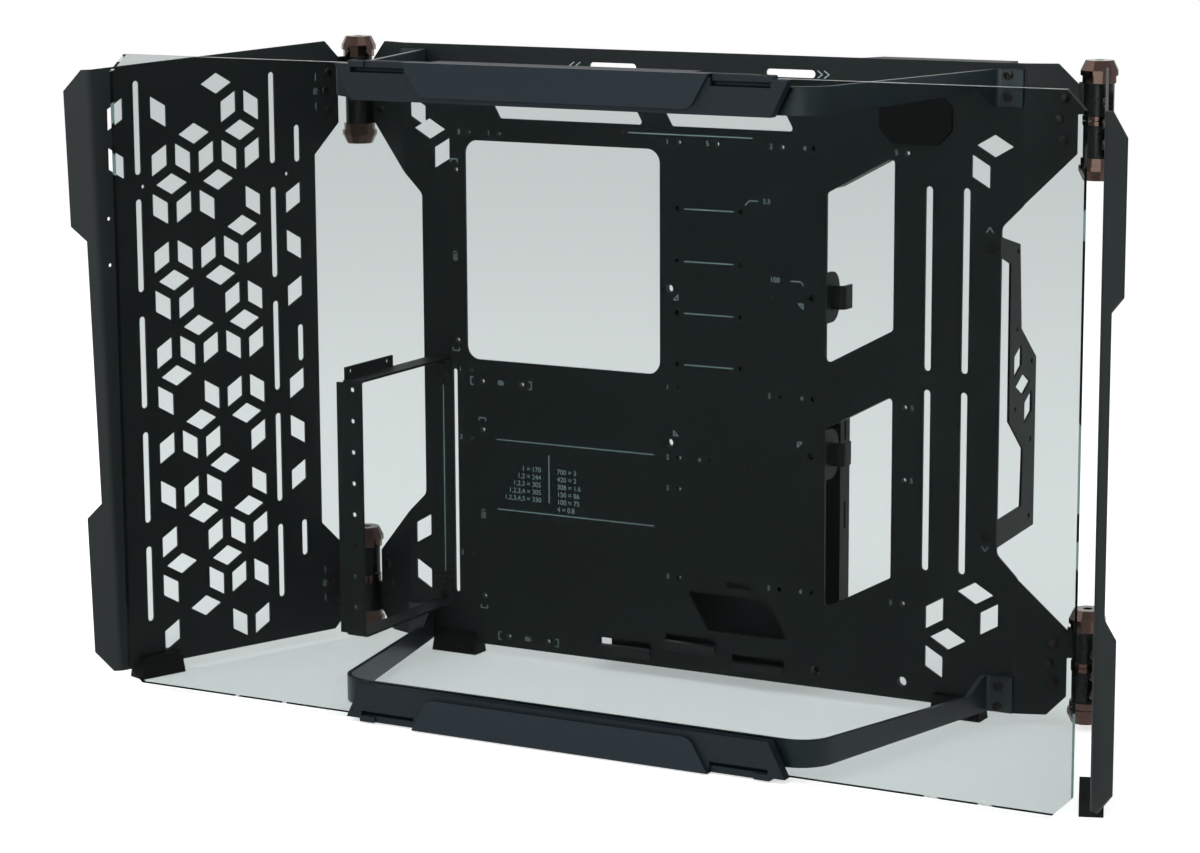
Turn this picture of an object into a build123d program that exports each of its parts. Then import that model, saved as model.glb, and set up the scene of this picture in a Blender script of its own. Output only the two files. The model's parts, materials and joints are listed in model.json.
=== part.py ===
"""Open air test bench: a folded board panel, two swinging wings and a glass front held by two handles.

Frame: +Z up, +X to the right as seen from the glass side, +Y towards the back.
The origin is the middle of the footprint, on the floor.
"""
import os
from math import atan, cos, degrees, hypot, radians, sin, sqrt, tan

from build123d import *

os.makedirs("parts", exist_ok=True)

# Board panel
panel_width = 437.6  # between the two fold lines
panel_height = 400.0
panel_thickness = 2.0
panel_lift = 7.0  # lower edge above the floor
panel_bend_radius = 12.0
waist_width = 410.4
waist_height = 202.0
waist_radius = 6.0
tab_width = 31.7
tab_angle = 20.0  # hinge tabs lean back
tab_chamfer = 12.0

# Board hole grid: columns and rows counted from its first hole, rows downwards
board_x = -169.2  # first column, from the panel's middle
board_z = 350.0  # first row, above the floor
board_hole_radius = 1.6
board_holes = {
    0.0: (0.0, 22.86, 154.94, 182.2, 227.33, 249.7, 312.2),
    157.48: (0.0, 154.94, 227.33, 249.7, 312.2),
    203.2: (0.0, 154.94, 177.5, 312.2),
    223.52: (154.94,),
    281.94: (0.0, 154.94, 227.33, 249.7, 312.2),
}
drive_hole_radius = 1.75
drive_columns = (154.3, 199.0)
drive_rows = (42.0, 75.5, 108.8, 142.0)
supply_hole_radius = 1.9
supply_holes = ((-10.2, 25.0), (-10.2, 138.0), (8.5, 164.5), (38.5, 164.5), (8.5, 197.0), (8.5, 310.0))
supply_low_holes = ((27.0, 336.0), (57.0, 336.0))
module_hole_radius = 3.2
module_hole_columns = (252.8, 312.5)
module_hole_row = 332.0
monitor_hole_radius = 2.5
monitor_pitch = 100.0  # square bolt pattern of a monitor arm
monitor_at = (198.5, 143.6)

# Windows and slots of the panel, in the board grid
cooler_window_width = 144.5
cooler_window_height = 145.0
cooler_window_at = (69.25, 77.5)
cooler_window_radius = 9.0
cable_window_width = 45.6
cable_window_column = 281.2
cable_window_slope = 24.5  # rise of the slanted ends
cable_window_heights = (107.5, 115.5)
cable_window_rows = (68.4, 220.8)
cable_window_radius = 2.5
cable_lip_depth = 12.0
cable_lip_length = 34.0
slant_window = ((161.0, 290.0), (219.0, 290.0), (233.5, 314.7), (176.5, 314.7))
slant_window_radius = 1.5
top_slot_row = -18.0
top_slot_height = 16.0
top_slot_slant = 9.0
top_slot_lengths = (106.0, 86.0)
top_slot_columns = (72.5, 188.5)
top_slot_radius = 2.0
mount_slot_width = 4.8
mount_slot_length = 114.0
mount_slot_columns = (327.0, 351.5)
mount_slot_rows = (76.4, 202.0)
card_slot_width = 3.6
card_slot_length = 152.0
card_slot_at = (-12.2, 233.4)
hand_slot_width = 5.0
hand_slot_length = 34.0
hand_slot_columns = (107.6, 232.8)
hand_slot_row = -46.0
small_slot_width = 4.7
small_slot_length = 19.7
small_slot_at = (199.5, 283.0)
louvre_width = 37.0
louvre_height = 7.0
louvre_slit = 4.5
louvre_rise = 3.0
louvre_places = ((115.5, 339.5), (163.5, 331.5), (212.2, 339.5))

# Perforation: faces of stacked cubes
cube_edge = 20.85
diamond_edge = 13.9
panel_diamonds = {
    "top": ((-29.7, -1.2), (369.4, -6.9), (361.0, 270.0), (343.0, 301.0)),
    "right": ((-20.5, 14.5), (-38.5, 268.5), (333.8, 285.5), (370.3, 285.5)),
    "left": ((-38.5, -12.5), (-38.5, 299.5), (360.5, 8.9), (333.8, 316.5)),
}

# Soft plug near the top right corner
plug_width = 44.6
plug_height = 28.0
plug_corner = 9.0
plug_at = (317.5, -22.0)
plug_rim = 2.0
plug_rim_height = 1.4
plug_depth = 6.0

# Hinges
hinge_x = 261.0  # axis from the panel's middle
hinge_y = 12.0  # axis behind the panel's front face
hinge_rise = 167.0  # hinge middle from the panel's middle
knuckle_radius = 9.0
knuckle_height = 19.5
ring_radius = 9.6
ring_height = 2.5
ring_gap = 0.4
end_play = 0.15
pin_radius = 4.0
pin_clearance = 0.05
nut_radius = 11.5
nut_sides = 12
nut_neck_radius = 10.3
nut_neck_height = 4.5
nut_collar_height = 3.0
nut_cone_height = 6.0
nut_cone_taper = 25.0
nut_roof = 5.0  # solid end over the pin
socket_radius = 3.2
socket_sides = 6
socket_depth = 3.0
leaf_thickness = 3.0
leaf_height = 37.0
leaf_width = 19.0
leaf_screw_pitch = 12.4
leaf_screw_inset = 8.4  # outer screws from the sheet's edge
leaf_screw_stagger = 3.0  # middle screw sits further in

# Wings
wing_thickness = 1.5
wing_offset = 3.7  # inner face outside the hinge axis
wing_swing = 69.7  # angle forward of the panel's plane
wing_near = 14.7  # hinge tab's edge from the hinge axis
wing_tab_chamfer = 10.5
wing_waist = 34.8
wing_waist_top = 332.4
wing_waist_bottom = 82.4
wing_low = 7.0  # lower edge above the floor
wing_high = 407.0  # upper edge at the hinge end
wing_drop = 9.2  # fall of the upper edge towards the flange
wing_reach_low = 198.2  # fold line from the hinge axis
wing_reach_high = 208.9
flange_width = 16.7
flange_waist = 7.0
flange_angle = 42.0
flange_bend_radius = 6.0
flange_end_width = 5.0
flange_end_rise = 13.0
flange_foot_height = 102.0
flange_head_height = 99.0
pattern_x = 166.4  # first column of the cube pattern, from the hinge axis
pattern_z = 373.6  # reference row of the cube pattern, above the floor
wing_pattern = (
    "......o...",
    ".o.....o.o",
    "....o...o.",
    ".o.o.o.o.o",
    "..o...o...",
    ".o.o.o...o",
    "........o.",
    ".o.o.o.o.o",
    "..o...o...",
    ".o.o...o.o",
    "....o...o.",
    ".o.o.o.o.o",
    "..o.......",
    ".o...o.o.o",
    "....o...o.",
    ".o.o.o...o",
    "......o...",
    ".o.o.o...o",
    "....o...o.",
    ".o...o.o.o",
    "..o...o...",
    ".o...o.o.o",
    "....o.....",
    ".o.....o.o",
)  # rows from the top, columns towards the hinge, o is an open diamond
lone_diamonds = {
    "right": ((52.9, 68.4), (52.9, 130.8), (52.9, 193.1), (52.9, 255.5), (190.0, 5.0)),
    "left": ((52.9, 99.6), (52.9, 224.3), (190.0, 36.2)),
}  # from the hinge axis and below the reference row
fan_slot_width = 4.8
fan_slot_length = 60.0
fan_slot_columns = (68.8, 173.8)
fan_slot_rows = (14.6, 90.2, 166.0, 241.6)
fan_end_slot_length = 50.0
fan_end_slot_row = 312.3
short_slot_length = 24.5
short_slot_column = 49.0
short_slot_rows = (32.7, 166.0, 299.2)
wing_hole_radius = 1.3
wing_holes = ((170.4, 52.3), (57.9, 52.3), (197.0, 70.9), (197.0, 100.6))

# Glass front
glass_width = 648.0
glass_height = 405.0
glass_thickness = 4.0
glass_lift = 3.0
glass_gap = 174.0  # back face from the panel's front face
glass_chamfer = 11.0

# Handles
fit_gap = 0.2
strap_thickness = 3.0
strap_inset = 4.5  # strap edge inside the glass edge
strap_front_height = 16.5
strap_back_height = 12.5
strap_foot_height = 22.5
strap_foot_reach = 218.6  # outer end of the foot plate, from the middle
strap_foot_width = 17.5
strap_front_reach = 162.0  # front bend from the middle
strap_foot_radius = 4.0
strap_bend_radius = 22.0
strap_flare_start = 22.0
strap_flare_end = 7.0
handle_screw_inset = 9.5  # from the foot plate's outer end
handle_screw_edge = 3.3  # from the strap's edge
handle_screw_pitch = 13.2
grip_outer_length = 302.0
grip_inner_length = 280.0
grip_height = 21.5
grip_depth = 7.0
grip_plate_outer_length = 204.0
grip_plate_inner_length = 180.0
grip_plate_rise = 3.0
grip_plate_margin = 3.2
grip_plate_radius = 8.0
grip_notch_height = 5.0
grip_notch_length = 38.0
grip_lip = 2.0
grip_hook_length = 176.0
grip_hook_height = 9.0

# Expansion card bracket
card_bracket_x = -198.5  # left edge of the strip
card_bracket_width = 14.0
card_bracket_thickness = 1.5
card_bracket_bend = 2.0
card_bracket_depth = 110.0
card_bracket_top = 200.5
card_bracket_bottom = 32.5
card_bracket_foot = 18.0
card_bracket_lip = 4.7
card_screw_inset = 5.7
card_screw_pitch = 9.5
card_hole_radius = 1.6
card_hole_count = 8
card_pitch = 20.32
card_hole_inset = 6.3  # first hole below the bracket's top
card_tab_length = 56.0
card_tab_height = 9.0
card_tab_hole_inset = 6.3

# Rear bracket along the panel's right edge, measured back from the panel and up from the floor
edge_bracket_thickness = 1.5
edge_bracket_foot = 14.0
edge_bracket_outline = (
    (0.0, 301.8),
    (29.7, 294.4),
    (34.0, 241.5),
    (59.3, 220.5),
    (59.3, 113.5),
    (0.0, 109.9),
)
edge_bracket_window = (
    (0.0, 289.6),
    (15.0, 284.0),
    (15.9, 186.0),
    (39.6, 165.3),
    (38.0, 129.0),
    (0.0, 126.8),
)
edge_bracket_holes = (
    (26.2, 290.3),
    (26.8, 241.8),
    (51.8, 219.0),
    (25.8, 192.3),
    (51.7, 169.6),
    (51.5, 120.7),
)
edge_bracket_diamond = (38.0, 206.2)  # middle one of three
edge_screw_inset = 6.4

# Rear tray, rear angle and cable clips
tray_left = -22.0
tray_right = 88.0
tray_top = 186.0
tray_bottom = 9.0
tray_leg_left = -78.0  # the tray's foot reaches further left
tray_leg_height = 22.0
tray_thickness = 1.5
tray_depth = 24.0  # room between panel and tray
tray_flange = 14.0
tray_chamfer = 14.0
tray_slot_width = 2.6
tray_slot_length = 18.0
tray_slot_rows = (171.0, 113.5)
angle_left = 100.0
angle_right = 202.0
angle_top = 406.0
angle_height = 16.0
angle_depth = 28.0
angle_thickness = 1.5
angle_slant = 13.0
clip_thickness = 1.5
clip_foot_height = 20.0
clip_foot_width = 17.0
clip_ear_x = 86.0
clip_ear_height = 32.0
clip_ear_depth = 22.0
clip_ear_radius = 11.0
clip_hook_start = 12.0
clip_hook_reach = 10.0
clip_hook_depth = 11.0
clip_hook_height = 15.0
clip_hook_radius = 3.0

# Rubber feet
foot_width = 34.0
foot_side_angle = 80.0
foot_half_depth = 7.0
foot_cover = 7.3  # height above the sheet's lower edge
foot_x = 181.5
wing_foot_inset = 28.8  # from the lower end of the fold line

# Screws
screw_radius = 1.5
screw_clearance = 0.05
screw_head_radius = 3.1
screw_head_height = 1.7

# Derived places
panel_top = panel_lift + panel_height
panel_middle = panel_lift + panel_height / 2
fold_x = panel_width / 2
waist_x = waist_width / 2
waist_top = panel_middle + waist_height / 2
fold_end = waist_top + fold_x - waist_x
screw_hole_radius = screw_radius + screw_clearance
bore_radius = pin_radius + pin_clearance
ring_stack = 2 * ring_height + ring_gap
barrel_height = knuckle_height - 2 * end_play
nut_height = nut_neck_height + nut_collar_height + nut_cone_height
axis_from_fold = (hinge_x - fold_x) * cos(radians(tab_angle)) + hinge_y * sin(radians(tab_angle))
hinges = {"upper": panel_middle + hinge_rise, "lower": panel_middle - hinge_rise}
sides = {-1: "left", 1: "right"}
flange_rise = wing_high - wing_drop - wing_low
flange_lean = degrees(atan((wing_reach_high - wing_reach_low) / flange_rise))
flange_length = hypot(wing_reach_high - wing_reach_low, flange_rise)
bend_tangent = flange_bend_radius * tan(radians(flange_angle / 2))
bend_setback = bend_tangent / cos(radians(flange_lean))
glass_middle = glass_lift + glass_height / 2
handles = {"top": 1, "bottom": -1}
cube_column = cube_edge * sqrt(3) / 4
cube_row = cube_edge * 3 / 4
diamond_width = diamond_edge * sqrt(3) / 2
monitor_rows = (monitor_at[1] - monitor_pitch / 2, monitor_at[1] + monitor_pitch / 2)
monitor_right = monitor_at[0] + monitor_pitch / 2
edge_bracket_x = waist_x - edge_bracket_thickness
edge_bracket_feet = tuple(
    (outline[1], window[1], outline[1] + turn * edge_screw_inset)
    for outline, window, turn in (
        (edge_bracket_outline[0], edge_bracket_window[0], -1),
        (edge_bracket_outline[-1], edge_bracket_window[-1], 1),
    )
)

# The origin lies in the middle of the footprint, between the flange tips and the rear bracket
along = radians(wing_swing)
turned = radians(wing_swing - flange_angle)
fold_reach = wing_reach_low + (flange_length - flange_end_rise) * sin(radians(flange_lean))
front_reach = fold_reach * sin(along) + flange_width * sin(turned) - wing_offset * cos(along) - hinge_y
bracket_reach = panel_thickness + max(back for back, height in edge_bracket_outline)
panel_y = (front_reach - bracket_reach) / 2


def wall_plane(back):
    """Upright plane parallel to the panel, seen from the front."""
    return Plane(origin=(0, panel_y + back, 0), x_dir=(1, 0, 0), z_dir=(0, -1, 0))


def deck_plane(height):
    """Level plane seen from above; its y runs back from the panel's front face."""
    return Plane(origin=(0, panel_y, height))


def side_plane(across, back=0):
    """Upright plane square to the panel, seen from the right; its x runs back."""
    return Plane(origin=(across, panel_y + back, 0), x_dir=(0, 1, 0), z_dir=(1, 0, 0))


def tab_plane(side):
    """Front face of the panel's hinge tabs on one side; its origin is on the fold line."""
    lean = radians(tab_angle)
    origin = (side * fold_x, panel_y, 0)
    outwards = (side * sin(lean), -cos(lean), 0)
    return Plane(origin=origin, x_dir=(cos(lean), side * sin(lean), 0), z_dir=outwards)


def wing_plane(side):
    """Inner face of a wing; its x runs from the hinge axis."""
    inwards = (-side * sin(along), -cos(along), 0)
    origin = (side * hinge_x, panel_y + hinge_y, 0)
    return Plane(origin=origin, x_dir=(cos(along), -side * sin(along), 0), z_dir=inwards).offset(-wing_offset)


def fold_plane(side):
    """Inner face of a wing with its origin and y on the fold line of the flange."""
    face = wing_plane(side)
    lower_end = face.from_local_coords((side * wing_reach_low, wing_low, 0))
    upper_end = face.from_local_coords((side * wing_reach_high, wing_low + flange_rise, 0))
    upwards = (upper_end - lower_end).normalized()
    return Plane(origin=lower_end, x_dir=upwards.cross(face.z_dir), z_dir=face.z_dir)


def flange_plane(side):
    """Inner face of a wing's flange, turned outwards round the fold line."""
    fold = fold_plane(side)
    turn = Axis((0, 0, 0), fold.y_dir)
    angle = side * flange_angle
    outwards = fold.z_dir.rotate(turn, angle)
    return Plane(origin=fold.origin, x_dir=fold.x_dir.rotate(turn, angle), z_dir=outwards)


def axis_plane(side, height, up=1):
    """Level plane centred on a hinge axis."""
    return Plane(origin=(side * hinge_x, panel_y + hinge_y, height), z_dir=(0, 0, up))


def on_board(column, row):
    """Panel coordinates of a place in the board grid."""
    return board_x + column, board_z - row


def on_wing(side, reach, row):
    """Wing coordinates of a place given from the hinge axis and below the reference row."""
    return side * reach, pattern_z - row


def leaf_screws(side, edge, inwards, height):
    """Three screw places of a hinge leaf, measured from its sheet's edge."""
    outer = side * (edge + inwards * leaf_screw_inset)
    inner = side * (edge + inwards * (leaf_screw_inset + leaf_screw_stagger))
    return (outer, height - leaf_screw_pitch), (inner, height), (outer, height + leaf_screw_pitch)


def tab_screws(side, height):
    """Screw places on one of the panel's hinge tabs."""
    return leaf_screws(side, tab_width, -1, height)


def wing_screws(side, height):
    """Screw places on one of a wing's hinge tabs."""
    return leaf_screws(side, wing_near, 1, height)


def barrel_base(height, upper):
    """Lower end of a hinge's upper or lower knuckle."""
    return height + (ring_stack / 2 if upper else -ring_stack / 2 - knuckle_height) + end_play


def strap_edge(up):
    """Height of a handle strap's outer edge."""
    return glass_middle + up * (glass_height / 2 - strap_inset)


def handle_screws(up):
    """Screw places in the two foot plates of a handle."""
    across = strap_foot_reach - handle_screw_inset
    levels = [strap_edge(up) - up * (handle_screw_edge + step * handle_screw_pitch) for step in (0, 1)]
    return [(side * across, level) for side in sides for level in levels]


def card_screws():
    """Screw places in the two feet of the card bracket."""
    across = card_bracket_x + card_bracket_width / 2
    upper = [card_bracket_top - card_screw_inset - step * card_screw_pitch for step in (0, 1)]
    lower = [card_bracket_bottom + card_screw_inset + step * card_screw_pitch for step in (0, 1)]
    return [(across, level) for level in upper + lower]


def edge_screws():
    """Screw places in the two feet of the rear edge bracket."""
    return [(waist_x - edge_screw_inset, level) for foot, window, level in edge_bracket_feet]


def slanted(width, height, lean, rise):
    """Corners of a parallelogram whose top leans to the left or whose right end rises."""
    half = width / 2
    tall = height / 2
    return (
        (-half + lean / 2, -tall - rise / 2),
        (half + lean / 2, -tall + rise / 2),
        (half - lean / 2, tall + rise / 2),
        (-half - lean / 2, tall - rise / 2),
    )


def diamond_corners(kind):
    """Corners of one face of a cube, the top or one of the two sides."""
    half = diamond_edge / 2
    if kind == "top":
        return (-diamond_width, 0), (0, -half), (diamond_width, 0), (0, half)
    lean = half / 2 if kind == "right" else -half / 2
    side = diamond_width / 2
    return (-side, -half - lean), (side, -half + lean), (side, half + lean), (-side, half - lean)


# Folded board panel
with BuildPart() as main_panel:
    with BuildSketch(wall_plane(0)):
        with BuildLine():
            FilletPolyline(
                (waist_x, panel_middle), (waist_x, waist_top), (fold_x, fold_end), radius=waist_radius
            )
            Polyline(
                (fold_x, fold_end),
                (fold_x, panel_top),
                (0, panel_top),
                (0, panel_middle),
                (waist_x, panel_middle),
            )
        make_face()
        mirror(about=Plane.XZ.offset(-panel_middle))
        mirror(about=Plane.YZ)
    extrude(amount=-panel_thickness)
    for side in sides:
        with BuildSketch(tab_plane(side)):
            with BuildLine():
                Polyline(
                    (0, fold_end),
                    (side * tab_width, fold_end + tab_width),
                    (side * tab_width, panel_top - tab_chamfer),
                    (side * (tab_width - tab_chamfer), panel_top),
                    (0, panel_top),
                    close=True,
                )
            make_face()
            mirror(about=Plane.XZ.offset(-panel_middle))
        extrude(amount=-panel_thickness)
        for height in hinges.values():
            crease = main_panel.edges().sort_by_distance((side * fold_x, panel_y, height))[0]
            fillet(crease, panel_bend_radius)
        with BuildSketch(tab_plane(side)):
            for height in hinges.values():
                with Locations(*tab_screws(side, height)):
                    Circle(screw_hole_radius)
        extrude(amount=-panel_thickness, mode=Mode.SUBTRACT)
    with BuildSketch(wall_plane(0)):
        board_places = [on_board(column, row) for row, columns in board_holes.items() for column in columns]
        with Locations(*board_places):
            Circle(board_hole_radius)
        with Locations(*[on_board(column, row) for column in drive_columns for row in drive_rows]):
            Circle(drive_hole_radius)
        with Locations(*[on_board(*place) for place in supply_holes + supply_low_holes]):
            Circle(supply_hole_radius)
        with Locations(*[on_board(column, module_hole_row) for column in module_hole_columns]):
            Circle(module_hole_radius)
        with Locations(on_board(*monitor_at)):
            with GridLocations(monitor_pitch, monitor_pitch, 2, 2):
                Circle(monitor_hole_radius)
        with Locations(*handle_screws(1), *handle_screws(-1), *card_screws(), *edge_screws()):
            Circle(screw_hole_radius)
        with Locations(*[on_board(column, row) for column in mount_slot_columns for row in mount_slot_rows]):
            SlotOverall(mount_slot_length, mount_slot_width, rotation=90)
        with Locations(on_board(*card_slot_at)):
            SlotOverall(card_slot_length, card_slot_width, rotation=90)
        with Locations(*[on_board(column, hand_slot_row) for column in hand_slot_columns]):
            SlotOverall(hand_slot_length, hand_slot_width)
        with Locations(on_board(*small_slot_at)):
            SlotOverall(small_slot_length, small_slot_width)
        with Locations(on_board(*cooler_window_at)):
            RectangleRounded(cooler_window_width, cooler_window_height, cooler_window_radius)
        for kind, places in panel_diamonds.items():
            with Locations(*[on_board(*place) for place in places]):
                Polygon(*diamond_corners(kind), align=None)
    extrude(amount=-panel_thickness, mode=Mode.SUBTRACT)
    with BuildSketch(wall_plane(0)) as cable_windows:
        for height, row in zip(cable_window_heights, cable_window_rows):
            with Locations(on_board(cable_window_column, row)):
                Polygon(*slanted(cable_window_width, height, 0, cable_window_slope), align=None)
        fillet(cable_windows.vertices(), cable_window_radius)
    extrude(amount=-panel_thickness, mode=Mode.SUBTRACT)
    with BuildSketch(wall_plane(0)) as top_slots:
        for length, column in zip(top_slot_lengths, top_slot_columns):
            with Locations(on_board(column, top_slot_row)):
                Polygon(*slanted(length, top_slot_height, top_slot_slant, 0), align=None)
        fillet(top_slots.vertices(), top_slot_radius)
    extrude(amount=-panel_thickness, mode=Mode.SUBTRACT)
    with BuildSketch(wall_plane(0)) as slant_opening:
        Polygon(*[on_board(*corner) for corner in slant_window], align=None)
        fillet(slant_opening.vertices(), slant_window_radius)
    extrude(amount=-panel_thickness, mode=Mode.SUBTRACT)
    with BuildSketch(wall_plane(0)) as plug_hole:
        with Locations(on_board(*plug_at)):
            Rectangle(plug_width, plug_height)
        chamfer(plug_hole.vertices(), plug_corner)
    extrude(amount=-panel_thickness, mode=Mode.SUBTRACT)
    with BuildSketch(wall_plane(panel_thickness)):
        for height, row in zip(cable_window_heights, cable_window_rows):
            for end in (-1, 1):
                middle = row - end * (height + panel_thickness) / 2
                lip_slope = cable_window_slope * cable_lip_length / cable_window_width
                with Locations(on_board(cable_window_column, middle)):
                    Polygon(*slanted(cable_lip_length, panel_thickness, 0, lip_slope), align=None)
    extrude(amount=-cable_lip_depth)
    for column, row in louvre_places:
        across, base = on_board(column, row)
        rim = base + louvre_height
        with BuildSketch(wall_plane(0)):
            with Locations((across, rim + louvre_slit / 2)):
                Rectangle(louvre_width, louvre_slit)
        extrude(amount=-panel_thickness, mode=Mode.SUBTRACT)
        with BuildSketch(side_plane(across)):
            Polygon((0, base), (panel_thickness, rim), (-louvre_rise, rim), align=None)
        extrude(amount=louvre_width / 2, both=True)
main_panel.part.label = "main_panel"
export_step(main_panel.part, "parts/main_panel.step")

# Soft plug snapped into the panel
with BuildPart() as cable_plug:
    with BuildSketch(wall_plane(0)) as plug_face:
        with Locations(on_board(*plug_at)):
            Rectangle(plug_width + 2 * plug_rim, plug_height + 2 * plug_rim)
        chamfer(plug_face.vertices(), plug_corner)
    extrude(amount=plug_rim_height)
    fillet(cable_plug.faces().sort_by(Axis.Y)[0].edges(), plug_rim_height / 2)
    with BuildSketch(wall_plane(0)) as plug_body:
        with Locations(on_board(*plug_at)):
            Rectangle(plug_width - 2 * fit_gap, plug_height - 2 * fit_gap)
        chamfer(plug_body.vertices(), plug_corner)
    extrude(amount=-plug_depth)
cable_plug.part.label = "cable_plug"
export_step(cable_plug.part, "parts/cable_plug.step")

# Hinges between the panel and the wings
for side, hand in sides.items():
    for level, height in hinges.items():
        panel_base = barrel_base(height, side > 0)
        wing_base = barrel_base(height, side < 0)
        nut_seat = ring_stack / 2 + knuckle_height
        with BuildPart() as panel_leaf:
            with BuildSketch(tab_plane(side).offset(-panel_thickness)):
                with Locations((side * (tab_width - leaf_width / 2), height)):
                    Rectangle(leaf_width, leaf_height)
                with Locations((side * (tab_width + axis_from_fold) / 2, panel_base + barrel_height / 2)):
                    Rectangle(axis_from_fold - tab_width, barrel_height)
                with Locations(*tab_screws(side, height)):
                    Circle(screw_hole_radius, mode=Mode.SUBTRACT)
            extrude(amount=-leaf_thickness)
            with BuildSketch(axis_plane(side, panel_base)):
                Circle(knuckle_radius)
            extrude(amount=barrel_height)
            with BuildSketch(axis_plane(side, panel_base)):
                Circle(bore_radius)
            extrude(amount=barrel_height, mode=Mode.SUBTRACT)
        panel_leaf.part.label = f"{hand}_{level}_panel_leaf"
        export_step(panel_leaf.part, f"parts/{hand}_{level}_panel_leaf.step")

        with BuildPart() as wing_leaf:
            with BuildSketch(wing_plane(side).offset(-wing_thickness)):
                with Locations((side * (wing_near + leaf_width / 2), height)):
                    Rectangle(leaf_width, leaf_height)
                with Locations((side * wing_near / 2, wing_base + barrel_height / 2)):
                    Rectangle(wing_near, barrel_height)
                with Locations(*wing_screws(side, height)):
                    Circle(screw_hole_radius, mode=Mode.SUBTRACT)
            extrude(amount=-leaf_thickness)
            with BuildSketch(axis_plane(side, wing_base)):
                Circle(knuckle_radius)
            extrude(amount=barrel_height)
            with BuildSketch(axis_plane(side, wing_base)):
                Circle(bore_radius)
            extrude(amount=barrel_height, mode=Mode.SUBTRACT)
        wing_leaf.part.label = f"{hand}_{level}_wing_leaf"
        export_step(wing_leaf.part, f"parts/{hand}_{level}_wing_leaf.step")

        with BuildPart() as hinge_pin:
            pin_reach = nut_seat + nut_height - nut_roof
            with BuildSketch(axis_plane(side, height - pin_reach)):
                Circle(pin_radius)
            extrude(amount=2 * pin_reach)
        hinge_pin.part.label = f"{hand}_{level}_hinge_pin"
        export_step(hinge_pin.part, f"parts/{hand}_{level}_hinge_pin.step")

        with BuildPart() as hinge_rings:
            for up in handles.values():
                with BuildSketch(axis_plane(side, height + up * ring_gap / 2, up)):
                    Circle(ring_radius)
                    Circle(bore_radius, mode=Mode.SUBTRACT)
                extrude(amount=ring_height)
        hinge_rings.part.label = f"{hand}_{level}_hinge_rings"
        export_step(hinge_rings.part, f"parts/{hand}_{level}_hinge_rings.step")

        with BuildPart() as hinge_nuts:
            for up in handles.values():
                seat = axis_plane(side, height + up * nut_seat, up)
                with BuildSketch(seat):
                    RegularPolygon(nut_neck_radius, nut_sides)
                extrude(amount=nut_neck_height)
                collar = seat.offset(nut_neck_height)
                with BuildSketch(collar):
                    RegularPolygon(nut_radius, nut_sides)
                extrude(amount=nut_collar_height)
                with BuildSketch(collar.offset(nut_collar_height)):
                    RegularPolygon(nut_radius, nut_sides)
                extrude(amount=nut_cone_height, taper=nut_cone_taper)
                with BuildSketch(seat):
                    Circle(bore_radius)
                extrude(amount=nut_height - nut_roof, mode=Mode.SUBTRACT)
                with BuildSketch(seat.offset(nut_height)):
                    RegularPolygon(socket_radius, socket_sides)
                extrude(amount=-socket_depth, mode=Mode.SUBTRACT)
        hinge_nuts.part.label = f"{hand}_{level}_hinge_nuts"
        export_step(hinge_nuts.part, f"parts/{hand}_{level}_hinge_nuts.step")

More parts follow.
